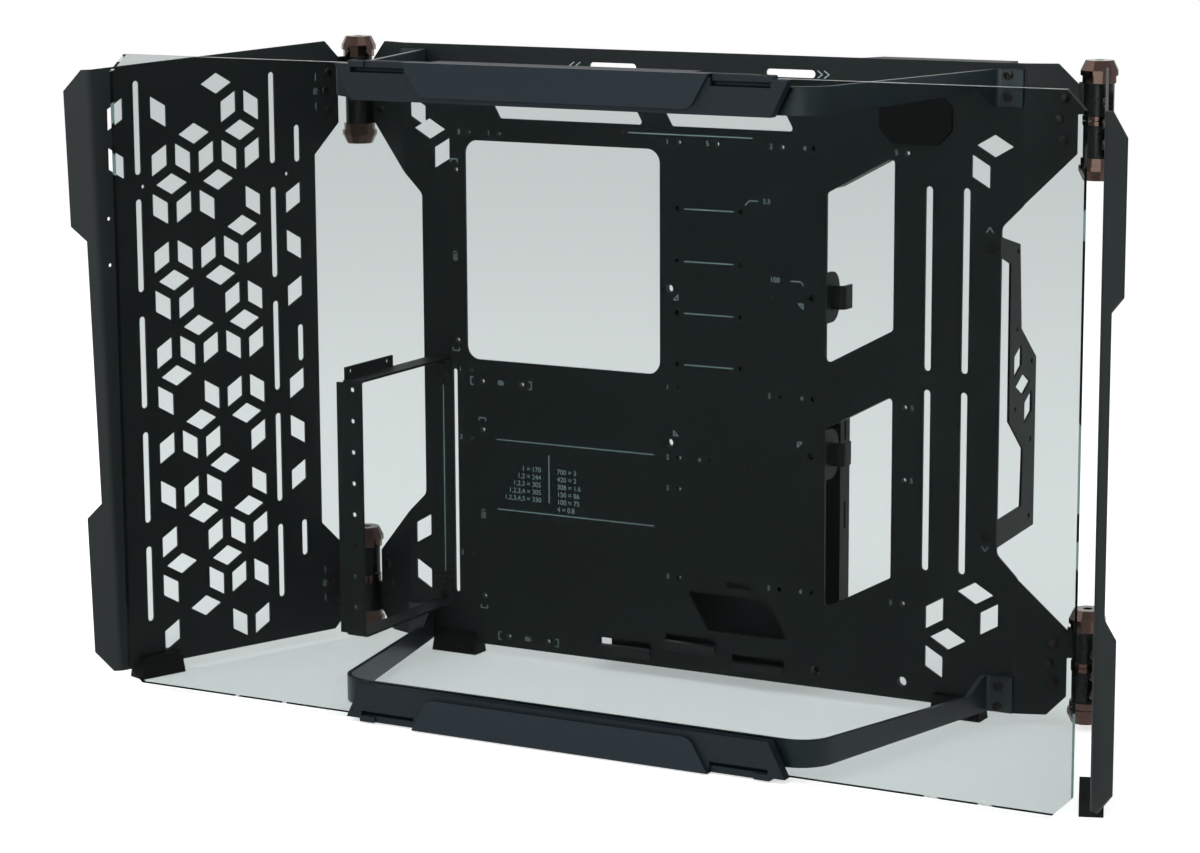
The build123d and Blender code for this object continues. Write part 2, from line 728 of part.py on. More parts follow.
# Perforated wings with a folded front flange
for side, hand in sides.items():
    with BuildPart() as wing:
        with BuildSketch(wing_plane(side)):
            with BuildLine():
                Polyline(
                    (side * (wing_near + wing_tab_chamfer), wing_high),
                    (side * wing_near, wing_high - wing_tab_chamfer),
                    (side * wing_near, wing_waist_top + wing_waist - wing_near),
                    (side * wing_waist, wing_waist_top),
                    (side * wing_waist, wing_waist_bottom),
                    (side * wing_near, wing_waist_bottom - wing_waist + wing_near),
                    (side * wing_near, wing_low + wing_tab_chamfer),
                    (side * (wing_near + wing_tab_chamfer), wing_low),
                    (side * (wing_reach_low - bend_setback), wing_low),
                    (side * (wing_reach_high - bend_setback), wing_low + flange_rise),
                    close=True,
                )
            make_face()
            for row, marks in enumerate(wing_pattern):
                for column, mark in enumerate(marks):
                    if mark == "o":
                        facing = -side if (row + column) % 4 else side
                        kind = {-1: "right", 1: "left"}[facing] if row % 2 else "top"
                        down = row * cube_row - cube_edge / 2
                        place = on_wing(side, pattern_x - column * cube_column, down)
                        with Locations(place):
                            Polygon(*diamond_corners(kind), align=None, mode=Mode.SUBTRACT)
            for kind, places in lone_diamonds.items():
                facing = kind if side < 0 else {"left": "right", "right": "left"}[kind]
                with Locations(*[on_wing(side, *place) for place in places]):
                    Polygon(*diamond_corners(facing), align=None, mode=Mode.SUBTRACT)
            fan_places = [on_wing(side, column, row) for column in fan_slot_columns for row in fan_slot_rows]
            with Locations(*fan_places):
                SlotOverall(fan_slot_length, fan_slot_width, rotation=90, mode=Mode.SUBTRACT)
            with Locations(*[on_wing(side, column, fan_end_slot_row) for column in fan_slot_columns]):
                SlotOverall(fan_end_slot_length, fan_slot_width, rotation=90, mode=Mode.SUBTRACT)
            with Locations(*[on_wing(side, short_slot_column, row) for row in short_slot_rows]):
                SlotOverall(short_slot_length, fan_slot_width, rotation=90, mode=Mode.SUBTRACT)
            with Locations(*[on_wing(side, *place) for place in wing_holes]):
                Circle(wing_hole_radius, mode=Mode.SUBTRACT)
            for height in hinges.values():
                with Locations(*wing_screws(side, height)):
                    Circle(screw_hole_radius, mode=Mode.SUBTRACT)
        extrude(amount=-wing_thickness)
        fold = fold_plane(side)
        with BuildSketch(Plane(origin=fold.origin, x_dir=fold.x_dir, z_dir=fold.y_dir)):
            with BuildLine():
                CenterArc(
                    (-side * bend_tangent, flange_bend_radius),
                    flange_bend_radius - wing_thickness / 2,
                    start_angle=-90,
                    arc_size=side * flange_angle,
                )
            trace(line_width=wing_thickness)
        extrude(amount=flange_length)
        step = flange_width - flange_waist
        with BuildSketch(flange_plane(side)):
            with BuildLine():
                Polyline(
                    (side * bend_tangent, 0),
                    (side * flange_end_width, 0),
                    (side * flange_width, flange_end_rise),
                    (side * flange_width, flange_foot_height),
                    (side * flange_waist, flange_foot_height + step),
                    (side * flange_waist, flange_length - flange_head_height - step),
                    (side * flange_width, flange_length - flange_head_height),
                    (side * flange_width, flange_length - flange_end_rise),
                    (side * flange_end_width, flange_length),
                    (side * bend_tangent, flange_length),
                    close=True,
                )
            make_face()
        extrude(amount=-wing_thickness)
    wing.part.label = f"{hand}_wing_panel"
    export_step(wing.part, f"parts/{hand}_wing_panel.step")

    with BuildPart() as wing_foot:
        with BuildSketch(wing_plane(side).offset(-wing_thickness / 2)):
            with Locations((side * (wing_reach_low - wing_foot_inset), 0)):
                foot_height = wing_low + foot_cover
                Trapezoid(foot_width, foot_height, foot_side_angle, align=(Align.CENTER, Align.MIN))
        extrude(amount=foot_half_depth, both=True)
        with BuildSketch(wing_plane(side)):
            with Locations((side * (wing_reach_low - wing_foot_inset), wing_low)):
                Rectangle(foot_width, foot_cover, align=(Align.CENTER, Align.MIN))
        extrude(amount=-wing_thickness, mode=Mode.SUBTRACT)
    wing_foot.part.label = f"{hand}_wing_foot"
    export_step(wing_foot.part, f"parts/{hand}_wing_foot.step")

    with BuildPart() as panel_foot:
        with BuildSketch(wall_plane(panel_thickness / 2)):
            with Locations((side * foot_x, 0)):
                foot_height = panel_lift + foot_cover
                Trapezoid(foot_width, foot_height, foot_side_angle, align=(Align.CENTER, Align.MIN))
        extrude(amount=foot_half_depth, both=True)
        with BuildSketch(wall_plane(0)):
            with Locations((side * foot_x, panel_lift)):
                Rectangle(foot_width, foot_cover, align=(Align.CENTER, Align.MIN))
        extrude(amount=-panel_thickness, mode=Mode.SUBTRACT)
    panel_foot.part.label = f"{hand}_panel_foot"
    export_step(panel_foot.part, f"parts/{hand}_panel_foot.step")

# Glass front
with BuildPart() as front_glass:
    with BuildSketch(wall_plane(-glass_gap)) as pane:
        with Locations((0, glass_middle)):
            Rectangle(glass_width, glass_height)
        chamfer(pane.vertices(), glass_chamfer)
    extrude(amount=glass_thickness)
front_glass.part.label = "front_glass"
export_step(front_glass.part, "parts/front_glass.step")

# Bent handle straps and the grips that hold the glass against them
for level, up in handles.items():
    edge = strap_edge(up)
    front = -(glass_gap - fit_gap - strap_thickness / 2)
    bend = strap_foot_reach - strap_foot_width
    half_path = (
        (strap_foot_reach, -strap_thickness / 2),
        (bend, -strap_thickness / 2),
        (strap_front_reach, front),
    )
    path = [(-across, back) for across, back in half_path] + list(reversed(half_path))
    with BuildPart() as strap:
        with BuildSketch(deck_plane(edge)):
            with BuildLine():
                FilletPolyline(
                    *path, radius=(strap_foot_radius, strap_bend_radius, strap_bend_radius, strap_foot_radius)
                )
            trace(line_width=strap_thickness)
        extrude(amount=-up * strap_foot_height)
        with BuildSketch(side_plane(0)):
            with BuildLine():
                Polyline(
                    (-glass_gap, edge - up * strap_front_height),
                    (-strap_flare_start, edge - up * strap_back_height),
                    (-strap_flare_end, edge - up * strap_foot_height),
                    (-glass_gap, edge - up * strap_foot_height),
                    close=True,
                )
            make_face()
        extrude(amount=strap_foot_reach, both=True, mode=Mode.SUBTRACT)
        with BuildSketch(wall_plane(0)):
            with Locations(*handle_screws(up)):
                Circle(screw_hole_radius)
        extrude(amount=strap_thickness, mode=Mode.SUBTRACT)
    strap.part.label = f"{level}_handle_strap"
    export_step(strap.part, f"parts/{level}_handle_strap.step")

    outer = glass_middle + up * glass_height / 2
    inner = outer - up * grip_height
    face = -(glass_gap + glass_thickness + fit_gap)
    hook = -(glass_gap - 2 * fit_gap - strap_thickness)
    lip_top = outer + up * (fit_gap + grip_lip)
    with BuildPart() as grip:
        with BuildSketch(wall_plane(face)):
            with BuildLine():
                Polyline(
                    (-grip_outer_length / 2, outer),
                    (-grip_inner_length / 2, inner),
                    (grip_inner_length / 2, inner),
                    (grip_outer_length / 2, outer),
                    close=True,
                )
            make_face()
            for side in sides:
                notch = side * (grip_plate_outer_length + grip_notch_length) / 2
                with Locations((notch, outer - up * grip_notch_height / 2)):
                    Rectangle(grip_notch_length, grip_notch_height, mode=Mode.SUBTRACT)
        extrude(amount=grip_depth)
        with BuildSketch(wall_plane(face)) as plate:
            with BuildLine():
                Polyline(
                    (-grip_plate_outer_length / 2, lip_top),
                    (-grip_plate_inner_length / 2, inner + up * grip_plate_margin),
                    (grip_plate_inner_length / 2, inner + up * grip_plate_margin),
                    (grip_plate_outer_length / 2, lip_top),
                    close=True,
                )
            make_face()
            fillet(plate.vertices().sort_by_distance((0, glass_middle))[:2], grip_plate_radius)
        extrude(amount=grip_depth + grip_plate_rise)
        with BuildSketch(side_plane(0)):
            with BuildLine():
                Polyline(
                    (face, lip_top),
                    (hook + grip_lip, lip_top),
                    (hook + grip_lip, edge - up * grip_hook_height),
                    (hook, edge - up * grip_hook_height),
                    (hook, edge),
                    (-glass_gap + fit_gap, edge),
                    (-glass_gap + fit_gap, outer + up * fit_gap),
                    (face, outer + up * fit_gap),
                    close=True,
                )
            make_face()
        extrude(amount=grip_hook_length / 2, both=True)
    grip.part.label = f"{level}_grip"
    export_step(grip.part, f"parts/{level}_grip.step")

# Expansion card bracket standing in front of the panel
with BuildPart() as card_bracket:
    skin = card_bracket_thickness / 2
    with BuildSketch(side_plane(card_bracket_x)):
        with BuildLine():
            FilletPolyline(
                (-skin, card_bracket_top - card_bracket_foot),
                (-skin, card_bracket_top - skin),
                (-card_bracket_depth + skin, card_bracket_top - skin),
                (-card_bracket_depth + skin, card_bracket_bottom + skin),
                (-skin, card_bracket_bottom + skin),
                (-skin, card_bracket_bottom + card_bracket_foot),
                radius=card_bracket_bend,
            )
        trace(line_width=card_bracket_thickness)
    extrude(amount=card_bracket_width)
    with BuildSketch(wall_plane(-card_bracket_depth)):
        with Locations((card_bracket_x - card_bracket_lip / 2, (card_bracket_top + card_bracket_bottom) / 2)):
            lip_height = card_bracket_top - card_bracket_bottom - 2 * card_bracket_bend
            Rectangle(card_bracket_lip, lip_height)
    extrude(amount=-card_bracket_thickness)
    with BuildSketch(side_plane(card_bracket_x, card_bracket_bend - card_bracket_depth)):
        with Locations((0, card_bracket_top - card_bracket_thickness)):
            Rectangle(card_tab_length, card_tab_height, align=Align.MIN)
        for inset in (card_tab_hole_inset, card_tab_length - card_tab_hole_inset):
            with Locations((inset, card_bracket_top + card_tab_height / 2)):
                Circle(card_hole_radius, mode=Mode.SUBTRACT)
    extrude(amount=card_bracket_thickness)
    with BuildSketch(wall_plane(-card_bracket_depth)):
        for card in range(card_hole_count):
            across = card_bracket_x + card_bracket_width / 2
            with Locations((across, card_bracket_top - card_hole_inset - card * card_pitch)):
                Circle(card_hole_radius)
    extrude(amount=-card_bracket_thickness, mode=Mode.SUBTRACT)
    with BuildSketch(wall_plane(0)):
        with Locations(*card_screws()):
            Circle(screw_hole_radius)
    extrude(amount=card_bracket_thickness, mode=Mode.SUBTRACT)
card_bracket.part.label = "card_bracket"
export_step(card_bracket.part, "parts/card_bracket.step")

# Rear bracket along the panel's right edge
with BuildPart() as edge_bracket:
    with BuildSketch(side_plane(edge_bracket_x, panel_thickness)):
        with BuildLine():
            Polyline(*edge_bracket_outline, *reversed(edge_bracket_window), close=True)
        make_face()
        with Locations(*edge_bracket_holes):
            Circle(board_hole_radius, mode=Mode.SUBTRACT)
        back, height = edge_bracket_diamond
        with Locations((back, height)):
            Polygon(*diamond_corners("top"), align=None, mode=Mode.SUBTRACT)
        with Locations((back - cube_column, height + cube_row), (back + cube_column, height - cube_row)):
            Polygon(*diamond_corners("right"), align=None, mode=Mode.SUBTRACT)
    extrude(amount=edge_bracket_thickness)
    for outline, window, level in edge_bracket_feet:
        with BuildSketch(wall_plane(panel_thickness)):
            with Locations((waist_x - edge_bracket_foot / 2, (outline + window) / 2)):
                Rectangle(edge_bracket_foot, abs(outline - window))
            with Locations((waist_x - edge_screw_inset, level)):
                Circle(screw_hole_radius, mode=Mode.SUBTRACT)
        extrude(amount=-edge_bracket_thickness)
edge_bracket.part.label = "edge_bracket"
export_step(edge_bracket.part, "parts/edge_bracket.step")

# Rear tray behind the lower right of the panel
with BuildPart() as rear_tray:
    tray_back = panel_thickness + tray_depth
    with BuildSketch(wall_plane(tray_back)):
        with BuildLine():
            Polyline(
                (tray_left, tray_top),
                (tray_left, tray_bottom + tray_leg_height),
                (tray_leg_left, tray_bottom + tray_leg_height),
                (tray_leg_left, tray_bottom),
                (tray_right - tray_chamfer, tray_bottom),
                (tray_right, tray_bottom + tray_chamfer),
                (tray_right, tray_top),
                close=True,
            )
        make_face()
    extrude(amount=-tray_thickness)
    with BuildSketch(side_plane(tray_right)):
        with Locations((tray_back, tray_bottom + tray_chamfer)):
            Rectangle(tray_flange, tray_top - tray_bottom - tray_chamfer, align=Align.MIN)
        with Locations(*[(tray_back + tray_flange / 2, row) for row in tray_slot_rows]):
            SlotOverall(tray_slot_length, tray_slot_width, rotation=90, mode=Mode.SUBTRACT)
    extrude(amount=-tray_thickness)
    tray_ledges = (
        (tray_top - tray_thickness, tray_left, tray_right),
        (tray_bottom, tray_leg_left, tray_right - tray_chamfer),
    )
    for height, left, right in tray_ledges:
        with BuildSketch(deck_plane(height)):
            with Locations((left, panel_thickness)):
                Rectangle(right - left, tray_depth, align=Align.MIN)
        extrude(amount=tray_thickness)
rear_tray.part.label = "rear_tray"
export_step(rear_tray.part, "parts/rear_tray.step")

# Rear angle under the panel's top edge
with BuildPart() as rear_angle:
    with BuildSketch(side_plane(angle_left, panel_thickness)):
        with Locations((0, angle_top)):
            Rectangle(angle_depth, angle_thickness, align=(Align.MIN, Align.MAX))
            Rectangle(angle_thickness, angle_height, align=(Align.MIN, Align.MAX))
    extrude(amount=angle_right - angle_left)
    with BuildSketch(deck_plane(angle_top)):
        with BuildLine():
            Polyline(
                (angle_left, panel_thickness + angle_thickness),
                (angle_left + angle_slant, panel_thickness + angle_depth),
                (angle_left, panel_thickness + angle_depth),
                close=True,
            )
        make_face()
    extrude(amount=-angle_thickness, mode=Mode.SUBTRACT)
rear_angle.part.label = "rear_angle"
export_step(rear_angle.part, "parts/rear_angle.step")

# Cable clips behind the right pair of monitor holes
for level, row in zip(hinges, monitor_rows):
    across, height = on_board(monitor_right, row)
    with BuildPart() as cable_clip:
        with BuildSketch(wall_plane(panel_thickness)):
            with Locations((clip_ear_x + clip_thickness, height)):
                Rectangle(clip_foot_width, clip_foot_height, align=(Align.MAX, Align.CENTER))
            with Locations((across, height)):
                Circle(monitor_hole_radius, mode=Mode.SUBTRACT)
        extrude(amount=-clip_thickness)
        with BuildSketch(side_plane(clip_ear_x, panel_thickness)) as ear:
            with Locations((0, height)):
                Rectangle(clip_ear_depth, clip_ear_height, align=(Align.MIN, Align.CENTER))
            fillet(ear.vertices().group_by(Axis.X)[-1], clip_ear_radius)
        extrude(amount=clip_thickness)
        with BuildSketch(deck_plane(height - clip_hook_height / 2)):
            with BuildLine():
                FilletPolyline(
                    (clip_ear_x + clip_thickness, clip_hook_start),
                    (clip_ear_x + clip_hook_reach, clip_hook_start),
                    (clip_ear_x + clip_hook_reach, clip_hook_start + clip_hook_depth),
                    radius=clip_hook_radius,
                )
            trace(line_width=clip_thickness)
        extrude(amount=clip_hook_height)
    cable_clip.part.label = f"{level}_cable_clip"
    export_step(cable_clip.part, f"parts/{level}_cable_clip.step")

# Button-head screws, grouped by what they hold
frame_screws = {
    "handle_screws": (handle_screws(1) + handle_screws(-1), strap_thickness, 0),
    "card_bracket_screws": (card_screws(), card_bracket_thickness, 0),
    "edge_bracket_screws": (edge_screws(), 0, edge_bracket_thickness),
}
for label, (places, front_sheet, back_sheet) in frame_screws.items():
    with BuildPart() as screws:
        with BuildSketch(wall_plane(-front_sheet)):
            with Locations(*places):
                Circle(screw_head_radius)
        extrude(amount=screw_head_height)
        with BuildSketch(wall_plane(-front_sheet)):
            with Locations(*places):
                Circle(screw_radius)
        extrude(amount=-(front_sheet + panel_thickness + back_sheet))
    screws.part.label = label
    export_step(screws.part, f"parts/{label}.step")

for side, hand in sides.items():
    hinge_faces = {
        f"{hand}_panel_hinge_screws": (tab_plane(side), tab_screws, panel_thickness + leaf_thickness),
        f"{hand}_wing_hinge_screws": (wing_plane(side), wing_screws, wing_thickness + leaf_thickness),
    }
    for label, (face, places, length) in hinge_faces.items():
        with BuildPart() as screws:
            for height in hinges.values():
                with BuildSketch(face):
                    with Locations(*places(side, height)):
                        Circle(screw_head_radius)
                extrude(amount=screw_head_height)
                with BuildSketch(face):
                    with Locations(*places(side, height)):
                        Circle(screw_radius)
                extrude(amount=-length)
        screws.part.label = label
        export_step(screws.part, f"parts/{label}.step")
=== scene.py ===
"""Finish of an open air test bench: coats, glass, bronze hinges, grips, screws, printed marks and stage."""
import json
import math

import bmesh
import bpy
from bpy.props import FloatProperty, FloatVectorProperty, PointerProperty, StringProperty
from mathutils import Matrix, Vector


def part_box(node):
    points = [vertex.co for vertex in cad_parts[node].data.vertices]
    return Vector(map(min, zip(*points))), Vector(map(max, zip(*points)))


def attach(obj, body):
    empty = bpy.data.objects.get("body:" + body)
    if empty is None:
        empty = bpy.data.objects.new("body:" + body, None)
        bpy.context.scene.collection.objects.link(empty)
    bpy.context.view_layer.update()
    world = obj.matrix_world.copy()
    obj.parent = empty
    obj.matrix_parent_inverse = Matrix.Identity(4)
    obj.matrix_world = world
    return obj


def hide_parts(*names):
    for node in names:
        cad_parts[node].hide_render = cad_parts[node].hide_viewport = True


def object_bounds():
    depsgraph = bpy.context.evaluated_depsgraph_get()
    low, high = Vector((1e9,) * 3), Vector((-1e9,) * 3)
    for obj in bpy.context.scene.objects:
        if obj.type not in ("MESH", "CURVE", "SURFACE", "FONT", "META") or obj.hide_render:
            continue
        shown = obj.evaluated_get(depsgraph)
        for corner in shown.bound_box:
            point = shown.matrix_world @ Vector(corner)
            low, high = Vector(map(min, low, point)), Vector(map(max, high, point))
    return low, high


bl_info = {
    "name": "Open air test bench",
    "version": (1, 0, 0),
    "blender": (4, 5, 0),
    "location": "View3D > Sidebar > Test bench",
    "description": "Coats, glazes and marks the test bench and sets its studio",
    "category": "Object",
}

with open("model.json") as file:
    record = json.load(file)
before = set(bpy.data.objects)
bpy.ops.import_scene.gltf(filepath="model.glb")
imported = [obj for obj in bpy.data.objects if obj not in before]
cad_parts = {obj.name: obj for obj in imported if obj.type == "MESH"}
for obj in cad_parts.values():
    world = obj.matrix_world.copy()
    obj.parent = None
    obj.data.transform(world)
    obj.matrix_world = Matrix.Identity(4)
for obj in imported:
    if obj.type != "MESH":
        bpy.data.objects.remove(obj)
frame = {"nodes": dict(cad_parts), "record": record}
cad_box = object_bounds()
MM = 0.001
WHITE = (1.0, 1.0, 1.0, 1.0)

# The board grid, in millimetres, starts at the first hole of the board's top row, on the panel's front face
BOARD = next(entry for entry in frame["record"]["mounts"] if entry["name"] == "board_pattern")
BOARD_ROWS_ABOVE = 157.48
GRID_TO_MIDDLE = 169.2
GRID_LEFT = BOARD["pos_m"][0] - BOARD["dims"]["spacing_x_mm"] / 2 * MM
GRID_TOP = BOARD["pos_m"][2] + (BOARD["dims"]["spacing_y_mm"] / 2 + BOARD_ROWS_ABOVE) * MM
PANEL_FRONT = BOARD["pos_m"][1]
PANEL_MIDDLE = GRID_LEFT + GRID_TO_MIDDLE * MM

SHEET_NODES = (
    "main_panel",
    "left_wing_panel",
    "right_wing_panel",
    "card_bracket",
    "edge_bracket",
    "rear_tray",
    "rear_angle",
    "upper_cable_clip",
    "lower_cable_clip",
)
STRAPS = ("top_handle_strap", "bottom_handle_strap")
HINGES = [f"{side}_{level}" for side in ("left", "right") for level in ("upper", "lower")]
RUBBER_NODES = ("left_panel_foot", "right_panel_foot", "left_wing_foot", "right_wing_foot", "cable_plug")

# The body that each set of screws rides on, and the way its heads face
TAB_LEAN = math.radians(20.0)
WING_SWING = math.radians(69.7)
FRONT = Vector((0, -1, 0))
SCREWS = {
    "handle_screws": ("frame", FRONT),
    "card_bracket_screws": ("frame", FRONT),
    "edge_bracket_screws": ("frame", FRONT),
}
for hand, side in (("left", -1), ("right", 1)):
    SCREWS[f"{hand}_panel_hinge_screws"] = (
        "frame",
        Vector((side * math.sin(TAB_LEAN), -math.cos(TAB_LEAN), 0)),
    )
    SCREWS[f"{hand}_wing_hinge_screws"] = (
        f"{hand}_wing",
        Vector((-side * math.sin(WING_SWING), -math.cos(WING_SWING), 0)),
    )

# Printed marks in millimetres of the board grid: right of its first hole, and down from it
FIGURES = (
    (0.0, ((-7, "5"), (15.5, "1"), (147, "1"), (175.5, "5"), (220, "2"), (243, "4"), (305, "5"))),
    (157.5, ((-8, "1"), (147, "1"), (219.5, "2"), (242, "4"), (317.5, "5"))),
    (203.2, ((-8, "2"), (147, "2"), (170, "4"), (317.5, "5"))),
    (223.5, ((147, "2"),)),
    (281.9, ((-8, "3"), (147, "3"), (219.5, "3"), (242, "4"), (304.5, "5"))),
    (34.5, ((217, "3.5"),)),
    (83.5, ((223, "100"),)),
    (164.5, ((23, "86"),)),
    (336.0, ((42, "86"),)),
)
TURNED_FIGURES = ((-11, 81.5, "150"), (8.5, 253.5, "150"))
TABLE_LEFT = ("1 = 170", "1,2 = 244", "1,2,3 = 305", "1,2,3,4 = 305", "1,2,3,4,5 = 330")
TABLE_RIGHT = ("700 = 3", "420 = 2", "308 = 1.6", "150 = 86", "100 = 75", "4 = 0.8")
LINES = (
    ((159, 42), (194, 42)),
    ((159, 75.5), (194, 75.5)),
    ((159, 108.8), (194, 108.8)),
    ((159, 142), (194, 142)),
    ((202, 37.5), (205, 34.5), (211, 34.5)),
    ((243, 86), (241, 83.5), (234, 83.5)),
    ((119, -4.8), (207, -4.8)),
    ((19.5, 202.5), (137, 202.5)),
    ((19.5, 249.5), (137, 249.5)),
    ((59, 210), (59, 242)),
    ((-21.5, 169), (-21.5, 296)),
)

# Signs: place in the board grid and turn in degrees
CHEVRONS = (
    (367, 44, 0),
    (367, 241, 180),
    (78, -46, 90),
    (82.5, -46, 90),
    (253, -46, -90),
    (257.5, -46, -90),
)
BRACKETS = (
    (1, 164.5, 0),
    (45, 164.5, 180),
    (20.5, 336, 0),
    (64, 336, 180),
    (-11, 19, -90),
    (-11, 144, 90),
    (8.5, 190, -90),
    (8.5, 317, 90),
)
TRIANGLES = ((153, 99, 0), (241, 99, 90), (153, 187, -90), (241, 187, 180))

# Tapped collars behind the panel's holes: hole radius, whether their back is shut, and their places
COLLARS = (
    (1.6, False, ((0, 0), (22.86, 0), (154.94, 0), (182.2, 0), (227.33, 0), (312.2, 0))),
    (1.6, False, ((0, 157.48), (312.2, 157.48), (0, 203.2), (154.94, 203.2), (312.2, 203.2))),
    (1.6, False, ((154.94, 223.52), (0, 281.94), (154.94, 281.94), (312.2, 281.94))),
    (1.6, True, ((249.7, 0), (154.94, 157.48), (227.33, 157.48), (249.7, 157.48))),
    (1.6, True, ((177.5, 203.2), (227.33, 281.94), (249.7, 281.94))),
    (1.75, True, tuple((u, v) for u in (154.3, 199.0) for v in (42.0, 75.5, 108.8, 142.0))),
    (1.9, False, ((-10.2, 25.0), (-10.2, 138.0), (8.5, 164.5), (38.5, 164.5), (8.5, 197.0), (8.5, 310.0))),
    (1.9, False, ((27.0, 336.0), (57.0, 336.0))),
    (3.2, False, ((252.8, 332.0), (312.5, 332.0))),
    (2.5, False, ((148.5, 93.6), (148.5, 193.6))),
    (2.5, True, ((248.5, 93.6), (248.5, 193.6))),
)
RIVETS = ((115, -4.8), (211.5, -4.8), (220.3, 95), (206.6, 206.9))

# Bar, web and end button in a grip's notches, in millimetres: across from its middle, behind its face, and in
# from its outer edge
LIP_BOXES = (
    ((102.0, 140.0), (4.6, 10.0), (0.0, 4.4)),
    ((102.0, 140.0), (8.0, 10.0), (4.4, 7.2)),
    ((130.5, 141.5), (2.6, 10.0), (0.0, 4.0)),
)

# Lamps in metres: place, what they are aimed at, and width and height
LAMPS = {
    "key": ((-1.7, -1.8, 1.9), (0.0, 0.0, 0.2), (1.2, 1.2)),
    "strip": ((0.45, -2.1, 0.75), (0.3, 0.0, 0.5), (1.0, 1.5)),
    "side": ((2.0, -1.0, 1.1), (0.0, 0.0, 0.2), (0.5, 0.9)),
    "top": ((0.2, -0.3, 2.2), (0.0, 0.0, 0.2), (1.8, 1.8)),
}

# Spokes of turned pieces, and flats of a screw's socket
SPOKES = 24
HEX_FLATS = 6

# Edges sharper than these are rounded, or stay crisp between smooth turned faces
ROUND_FROM = math.radians(40)
ROUND_SEGMENTS = 2
CRISP_FROM = math.radians(35)

# Points nearer than this are one point
SAME_POINT = 0.001 * MM


class TestBenchSizes(bpy.types.PropertyGroup):
    """Sizes of the finish that the sheet metal doesn't give."""

    edge_round: FloatProperty(
        name="Edge round", description="Rounding of sheet edges", default=0.35 * MM, unit="LENGTH"
    )
    nut_round: FloatProperty(
        name="Nut round", description="Rounding of nut facets", default=0.4 * MM, unit="LENGTH"
    )
    rubber_round: FloatProperty(
        name="Rubber round", description="Rounding of moulded edges", default=0.8 * MM, unit="LENGTH"
    )
    coat_grain: FloatProperty(
        name="Coat grain", description="Grain of the powder coat", default=0.5 * MM, unit="LENGTH"
    )
    coat_cloud: FloatProperty(
        name="Coat cloud", description="Uneven tone of the powder coat", default=90 * MM, unit="LENGTH"
    )
    tool_mark: FloatProperty(
        name="Tool mark", description="Marks on the blackened barrels", default=1.4 * MM, unit="LENGTH"
    )
    lathe_pitch: FloatProperty(
        name="Lathe pitch", description="Spacing of lathe lines on bronze", default=0.5 * MM, unit="LENGTH"
    )
    oxide_stain: FloatProperty(
        name="Oxide stain", description="Stains on the screw heads", default=0.8 * MM, unit="LENGTH"
    )
    grip_grain: FloatProperty(
        name="Grip grain", description="Spark-eroded grain of the grips", default=0.9 * MM, unit="LENGTH"
    )
    grip_skin: FloatProperty(
        name="Grip skin", description="Depth of a grip's smooth plate", default=1.0 * MM, unit="LENGTH"
    )
    rubber_bloom: FloatProperty(
        name="Rubber bloom", description="Patches of bloom on rubber", default=4.0 * MM, unit="LENGTH"
    )
    ink_pinhole: FloatProperty(
        name="Ink pinhole", description="Thin spots in the ink", default=0.6 * MM, unit="LENGTH"
    )
    line_width: FloatProperty(
        name="Line width", description="Width of printed lines", default=0.65 * MM, unit="LENGTH"
    )
    fine_line_width: FloatProperty(
        name="Fine line width", description="Width of small printed signs", default=0.55 * MM, unit="LENGTH"
    )
    figure_height: FloatProperty(
        name="Figure height", description="Height of printed figures", default=3.4 * MM, unit="LENGTH"
    )
    ink_thickness: FloatProperty(
        name="Ink thickness", description="Ink above the coat", default=0.05 * MM, unit="LENGTH"
    )
    panel_thickness: FloatProperty(
        name="Panel thickness", description="Sheet of the main panel", default=2.0 * MM, unit="LENGTH"
    )
    collar_wall: FloatProperty(
        name="Collar wall", description="Wall of the tapped collars", default=1.0 * MM, unit="LENGTH"
    )
    collar_depth: FloatProperty(
        name="Collar depth", description="Tapped collars behind the panel", default=2.8 * MM, unit="LENGTH"
    )
    rivet_radius: FloatProperty(
        name="Rivet radius", description="Small rivets of the panel", default=1.7 * MM, unit="LENGTH"
    )
    rivet_height: FloatProperty(
        name="Rivet height", description="Crown of the small rivets", default=0.5 * MM, unit="LENGTH"
    )
    socket_radius: FloatProperty(
        name="Socket radius", description="Hex socket of the screws", default=1.35 * MM, unit="LENGTH"
    )
    socket_depth: FloatProperty(
        name="Socket depth", description="Depth of the screw sockets", default=1.1 * MM, unit="LENGTH"
    )


class TestBenchColours(bpy.types.PropertyGroup):
    """Colours as sRGB hex values."""

    coat: StringProperty(name="Powder coat", description="Coat of the sheet metal", default="#171d1d")
    strap: StringProperty(name="Strap coat", description="Satin coat of the straps", default="#202b30")
    hinge: StringProperty(name="Hinge steel", description="Satin barrels and leaves", default="#080b0b")
    bronze: StringProperty(name="Bronze", description="Nuts and rings", default="#493a35")
    screw: StringProperty(name="Screw", description="Oxide of the screws", default="#1f1a18")
    grip: StringProperty(name="Grip", description="Moulded grips", default="#151d22")
    rubber: StringProperty(name="Rubber", description="Feet and plug", default="#0a0d0d")
    ink: StringProperty(name="Ink", description="Printed marks", default="#abc1bf")
    glass: StringProperty(name="Glass", description="Tint through the pane", default="#c0c7c6")
    glass_edge: StringProperty(name="Glass edge", description="Tint of the pane's edges", default="#35504d")
    floor: StringProperty(name="Floor", description="Studio floor", default="#f4f4f4")


